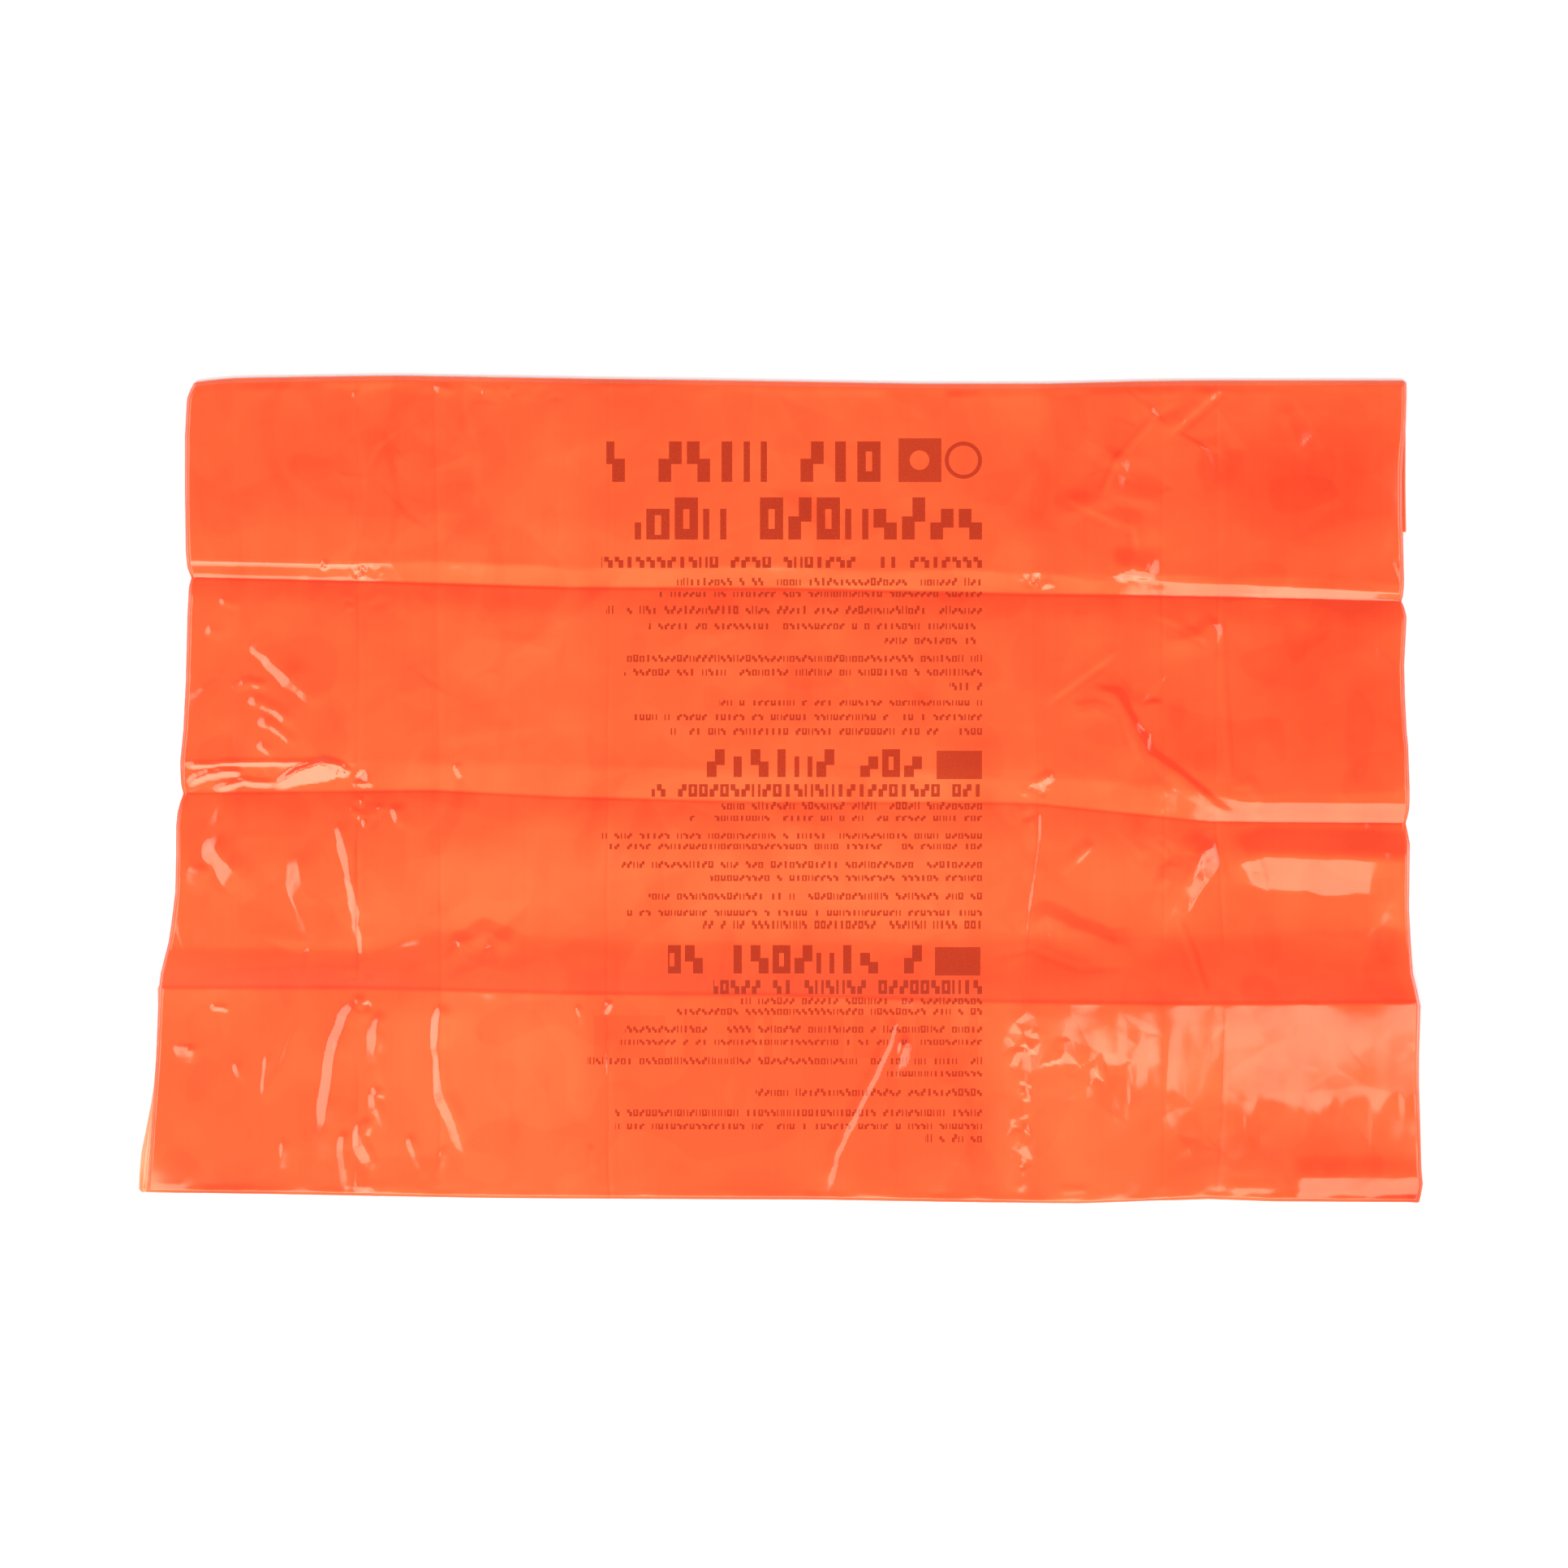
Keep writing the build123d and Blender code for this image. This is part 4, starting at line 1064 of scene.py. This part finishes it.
# ---- top fold: leaf 1's far half, round the fold, and the first part of the tucked tail
INSET = 0.9
upper_half = half_rows(FRONT[0], True, True, False, inset_start=INSET)[::-1]
tail_first = []
TAIL_PART = LIP_MM - 12.0
for q in spaced(TAIL_PART - INSET, (True, False), 3.2):
    tail_first.append(TAIL.ring((INSET + (TAIL_PART - INSET) * q) / TAIL_MM, ACROSS_FINE, ACROSS_UNDER))
arc, arc_w = wrap(upper_half[-1], tail_first[0], +1.0, 7, 0.9)
rings = upper_half + arc + tail_first
# rows run from leaf 1 towards the mouth, so the ring is turned over to keep its outside out
rings_rev = [[k.copy() for k in r] for r in rings]
weights = [0.0] * len(upper_half) + arc_w + [1.0] * len(tail_first)
rings_rev = rings_rev[::-1]
weights_rev = weights[::-1]
o = tube("film_top_fold", rings_rev, material=FILM)
made["top"] = (o, weights_rev)

# ---- the three creases between the leaves laid out
for k, name in ((0, "film_crease_1"), (1, "film_crease_2"), (2, "film_crease_3")):
    a = half_rows(FRONT[k], False, False, True)
    b = half_rows(FRONT[k + 1], True, True, False)
    made[name] = (tube(name, a + b[1:], material=FILM), None)

# ---- bottom fold: leaf 4's near half, round the fold, and half of leaf 5 under it
a = half_rows(FRONT[3], False, False, True, inset_end=INSET)
length5 = abs(float(STACK[5].eb(966.0) - STACK[5].ea(966.0))) * MM
b = []
for q in spaced(length5 / 2 - INSET, (True, False), 5.0):
    b.append(STACK[5].ring((INSET + (length5 / 2 - INSET) * q) / length5, ACROSS_FINE, ACROSS_UNDER))
arc, arc_w = wrap(a[-1], b[0], -1.0, 7, 0.9)
made["bottom"] = (tube("film_bottom_fold", a + arc + b, material=FILM), [0.0] * len(a) + arc_w + [1.0] * len(b))

# ---- the concertina folds
for k in range(5, 11):
    la, lb = STACK[k], STACK[k + 1]
    len_a = abs(float(la.eb(966.0) - la.ea(966.0))) * MM
    len_b = abs(float(lb.eb(966.0) - lb.ea(966.0))) * MM
    rows_a = [la.ring(0.5 + q * (0.5 - INSET / len_a), ACROSS_STACK, ACROSS_STACK) for q in spaced(len_a / 2 - INSET, (False, True), 5.0)]
    rows_b = [lb.ring((INSET + q * (len_b / 2 - INSET)) / len_b, ACROSS_STACK, ACROSS_STACK) for q in spaced(len_b / 2 - INSET, (True, False), 5.0)]
    arc, arc_w = wrap(rows_a[-1], rows_b[0], 1.0 if k % 2 else -1.0, 6, 0.9)
    made[f"fold_{k}"] = (tube(f"film_fold_{k:02d}_{k + 1:02d}", rows_a + arc + rows_b, material=FILM), [0.0] * len(rows_a) + arc_w + [1.0] * len(rows_b))

# ---- the foot: leaf 11's last half closes to the weld, and the skirt stands loose beyond it
L11 = STACK[11]
len11 = abs(float(L11.eb(966.0) - L11.ea(966.0))) * MM
WELD_W, SKIRT_W, CLOSE = 6.0, 5.0, 14.0
rows_f = []
end_mm = len11 - SKIRT_W - WELD_W
for q in np.concatenate([np.linspace(0, 0.72, 12), np.linspace(0.74, 1, 22)]):
    d = len11 / 2 + (end_mm - len11 / 2) * q
    ring = L11.ring(d / len11, ACROSS_STACK, ACROSS_STACK)
    close = smooth(np.array((d - (end_mm - CLOSE)) / CLOSE)).item()
    z = ring[0][:, 2]
    pucker = 0.10 * np.sin(ring[0][:, 0] * 380.0) * close * (1 - close) * 4
    base = z.min()
    ring[0][:, 2] = z * (1 - 0.93 * close) + (0.06 / 1000) * 0.93 * close + np.where(ring[2] > 0.5, np.abs(pucker) / 1000, 0)
    rows_f.append(ring)
made["foot"] = (tube("film_foot", rows_f, material=FILM), None)


def strip(name, leaf, d0, d1, z_mm, rows, wavy=0.0, phase=0.0):
    """A single layer of film across the foot."""
    rings = []
    for q in np.linspace(0, 1, rows):
        d = d0 + (d1 - d0) * q
        ring = leaf.ring(d / len11, ACROSS_STACK, ACROSS_STACK)
        m = len(ACROSS_STACK)
        part = [k[:m].copy() for k in ring]
        x = part[0][:, 0]
        part[0][:, 2] = (z_mm + wavy * q * (1 + np.sin(x * 95 + phase) * 0.6 + np.sin(x * 41 + 2 * phase) * 0.4)) / 1000
        part[2][:] = 1.0 if z_mm > 0.1 else 0.0
        rings.append(part)
    return tube(name, rings, closed=False, material=WELD if wavy == 0 else FILM)


weld = strip("foot_weld_band", L11, end_mm - 0.2, end_mm + WELD_W, 0.14, 13)
skirt_a = strip("foot_skirt_lower", L11, end_mm + WELD_W, len11 - 0.4, 0.10, 7, wavy=0.02, phase=0.4)
skirt_b = strip("foot_skirt_upper", L11, end_mm + WELD_W, len11 - 0.4, 0.17, 7, wavy=0.22, phase=1.9)

# ---- the mouth: the last 84 mm of the tail. The lip is the tail's upper wall; the under wall is the other.
rows_m = []
for q in spaced(TAIL_MM - TAIL_PART, (False, False), 3.0):
    rows_m.append(TAIL.ring((TAIL_PART + (TAIL_MM - TAIL_PART) * q) / TAIL_MM, ACROSS_STACK, ACROSS_STACK))
rows_m = rows_m[::-1]
mouth = tube("film_mouth", rows_m, material=FILM)
lip_w = []
for r in range(len(rows_m)):
    ring = rows_m[r]
    d_fold = TAIL_PART + (TAIL_MM - TAIL_PART) * (1 - r / (len(rows_m) - 1))
    along_w = smooth(np.array((d_fold - (LIP_MM - 7)) / 14.0)).item()
    m = len(ACROSS_STACK)
    w = np.zeros(len(ring[2]))
    side = np.sin(np.pi * np.clip(ACROSS_STACK, 0, 1)) ** 0.45
    w[:m] = along_w * side
    lip_w.append(w)
lip_w = np.concatenate(lip_w)

# ================================================================ bodies and CAD nodes
def leaf_nodes(k):
    return [f"leaf_{k:02d}_{part}" for part in ("upper_wall", "under_wall", "side_folds")]


o, w = made["top"]
hinge_blend(o)
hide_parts(*leaf_nodes(1), "mouth_tail_upper_wall", "mouth_tail_under_wall", "mouth_tail_side_folds")

for name, a, b, far, near, node in (("film_crease_1", "leaf_01", "leaf_02", 0.0105, 0.0105, 2), ("film_crease_2", "leaf_02", "leaf_03", 0.005, 0.005, 3),
                                    ("film_crease_3", "leaf_03", "leaf_04", 0.017, 0.001, 4)):
    o = made[name][0]
    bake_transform(o)
    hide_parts(*leaf_nodes(node))

o, w = made["bottom"]
hinge_blend(o)
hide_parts(*leaf_nodes(5))
for k in range(5, 11):
    o, w = made[f"fold_{k}"]
    z = (Z4 - PITCH * (k - 4)) / 1000 - 0.0001
    hinge_blend(o)
    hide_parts(*leaf_nodes(k + 1))

foot = made["foot"][0]
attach(foot, "leaf_11")
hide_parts("foot_weld")
for piece in (weld, skirt_a, skirt_b):
    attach(piece, "leaf_11")
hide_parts("foot_weld")
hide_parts("foot_skirt")
mid_fold = plan_y(TOP(966.0)) - LIP_MM / 1000
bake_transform(mouth)
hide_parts("mouth_lip")

# ================================================================ floor, light and camera
def floor_material():
    n = Nodes("pale_table")
    geo = n.new("ShaderNodeTexCoord")
    tex = n.new("ShaderNodeTexNoise")
    tex.inputs["Scale"].default_value = 3.0
    n.put(tex.inputs["Vector"], geo.outputs["Object"])
    bs = n.new("ShaderNodeBsdfPrincipled")
    n.put(bs.inputs["Base Color"], n.mix(tex.outputs["Fac"], (0.94, 0.94, 0.94), (0.965, 0.965, 0.965)))
    bs.inputs["Roughness"].default_value = 0.9
    bs.inputs["Specular IOR Level"].default_value = 0.1
    out = n.new("ShaderNodeOutputMaterial")
    n.put(out.inputs[0], bs.outputs[0])
    return n.mat


mesh = bpy.data.meshes.new("table_top")
half = 14.0
mesh.from_pydata([(-half, -half, -0.0006), (half, -half, -0.0006), (half, half, -0.0006), (-half, half, -0.0006)], [], [(0, 1, 2, 3)])
mesh.materials.append(floor_material())
floor = bpy.data.objects.new("table_top", mesh)
bpy.context.scene.collection.objects.link(floor)


def softbox(name, centre, size, target, radiance):
    data = bpy.data.lights.new(name, "AREA")
    data.shape = "RECTANGLE"
    data.size, data.size_y = size
    data.energy = radiance * size[0] * size[1] * math.pi
    obj = bpy.data.objects.new(name, data)
    bpy.context.scene.collection.objects.link(obj)
    obj.location = centre
    d = (np.array(target) - np.array(centre)).tolist()
    obj.rotation_mode = "QUATERNION"
    obj.rotation_quaternion = Vector(d).to_track_quat("-Z", "Y")
    obj.visible_camera = False
    return obj


# Lamps lie level at the camera's height, so that their edges are where `lean` expects them.
def level_box(name, x0, x1, y0, y1, radiance):
    cx, cy = (x0 + x1) / 2, (y0 + y1) / 2
    return softbox(name, (CAM_X + cx, CAM_Y + cy, CAM_H), (x1 - x0, y1 - y0), (CAM_X + cx, CAM_Y + cy, 0), radiance)


level_box("softbox_south_left_brim", -1.9, SPLIT, SOUTH_LEFT - 0.035, SOUTH_LEFT, 1.6)
level_box("softbox_south_left_near", -1.9, SPLIT, -1.12, SOUTH_LEFT - 0.035, 3.9)
level_box("softbox_south_left_far", -1.9, SPLIT, -1.95, -1.12, 6.2)
level_box("softbox_south_right_brim", SPLIT, 1.9, SOUTH_RIGHT - 0.035, SOUTH_RIGHT, 1.1)
level_box("softbox_south_right_edge", SPLIT, 1.9, SOUTH_RIGHT - 0.075, SOUTH_RIGHT - 0.035, 2.3)
level_box("softbox_south_right_near", SPLIT, 1.9, -1.12, SOUTH_RIGHT - 0.075, 3.4)
level_box("softbox_south_right_far", SPLIT, 1.9, -1.95, -1.12, 5.0)
level_box("softbox_left_brim", -SIDE_EDGE - 0.05, -SIDE_EDGE, -0.72, 0.8, 1.5)
level_box("softbox_left_near", -1.36, -SIDE_EDGE - 0.05, -0.72, 0.8, 4.2)
level_box("softbox_left_far", -1.9, -1.36, -0.72, 0.8, 5.6)
level_box("softbox_right_brim", SIDE_EDGE, SIDE_EDGE + 0.05, -0.58, 0.8, 1.3)
level_box("softbox_right_near", SIDE_EDGE + 0.05, 1.36, -0.58, 0.8, 3.3)
level_box("softbox_right_far", 1.36, 1.9, -0.58, 0.8, 4.6)

world = bpy.data.worlds.new("studio")
bpy.context.scene.world = world
world.use_nodes = True
wt = world.node_tree
wt.nodes.clear()
tc = wt.nodes.new("ShaderNodeTexCoord")
sp = wt.nodes.new("ShaderNodeSeparateXYZ")
wt.links.new(tc.outputs["Generated"], sp.inputs[0])
rp = wt.nodes.new("ShaderNodeValToRGB")
rp.color_ramp.elements[0].position, rp.color_ramp.elements[0].color = 0.30, (1.12, 1.12, 1.12, 1)
rp.color_ramp.elements[1].position, rp.color_ramp.elements[1].color = 0.93, (0.30, 0.30, 0.30, 1)
wt.links.new(sp.outputs[2], rp.inputs[0])
bg = wt.nodes.new("ShaderNodeBackground")
bg.inputs[1].default_value = 1.0
wt.links.new(rp.outputs[0], bg.inputs[0])
wo = wt.nodes.new("ShaderNodeOutputWorld")
wt.links.new(bg.outputs[0], wo.inputs[0])

scene = bpy.context.scene
scene.view_settings.view_transform = "Standard"
scene.view_settings.look = "None"
scene.view_settings.exposure = 0.0

cam_data = bpy.data.cameras.new("camera")
cam = bpy.data.objects.new("camera", cam_data)
scene.collection.objects.link(cam)
cam.location = (CAM_X, CAM_Y, CAM_H)
cam.rotation_euler = (0, 0, 0)
cam_data.sensor_width = 36.0
half_view = 1932 * STEP / 2 / (CAM_H - Z_REF)
cam_data.lens = 18.0 / half_view
cam_data.clip_start, cam_data.clip_end = 0.05, 60.0
scene.camera = cam
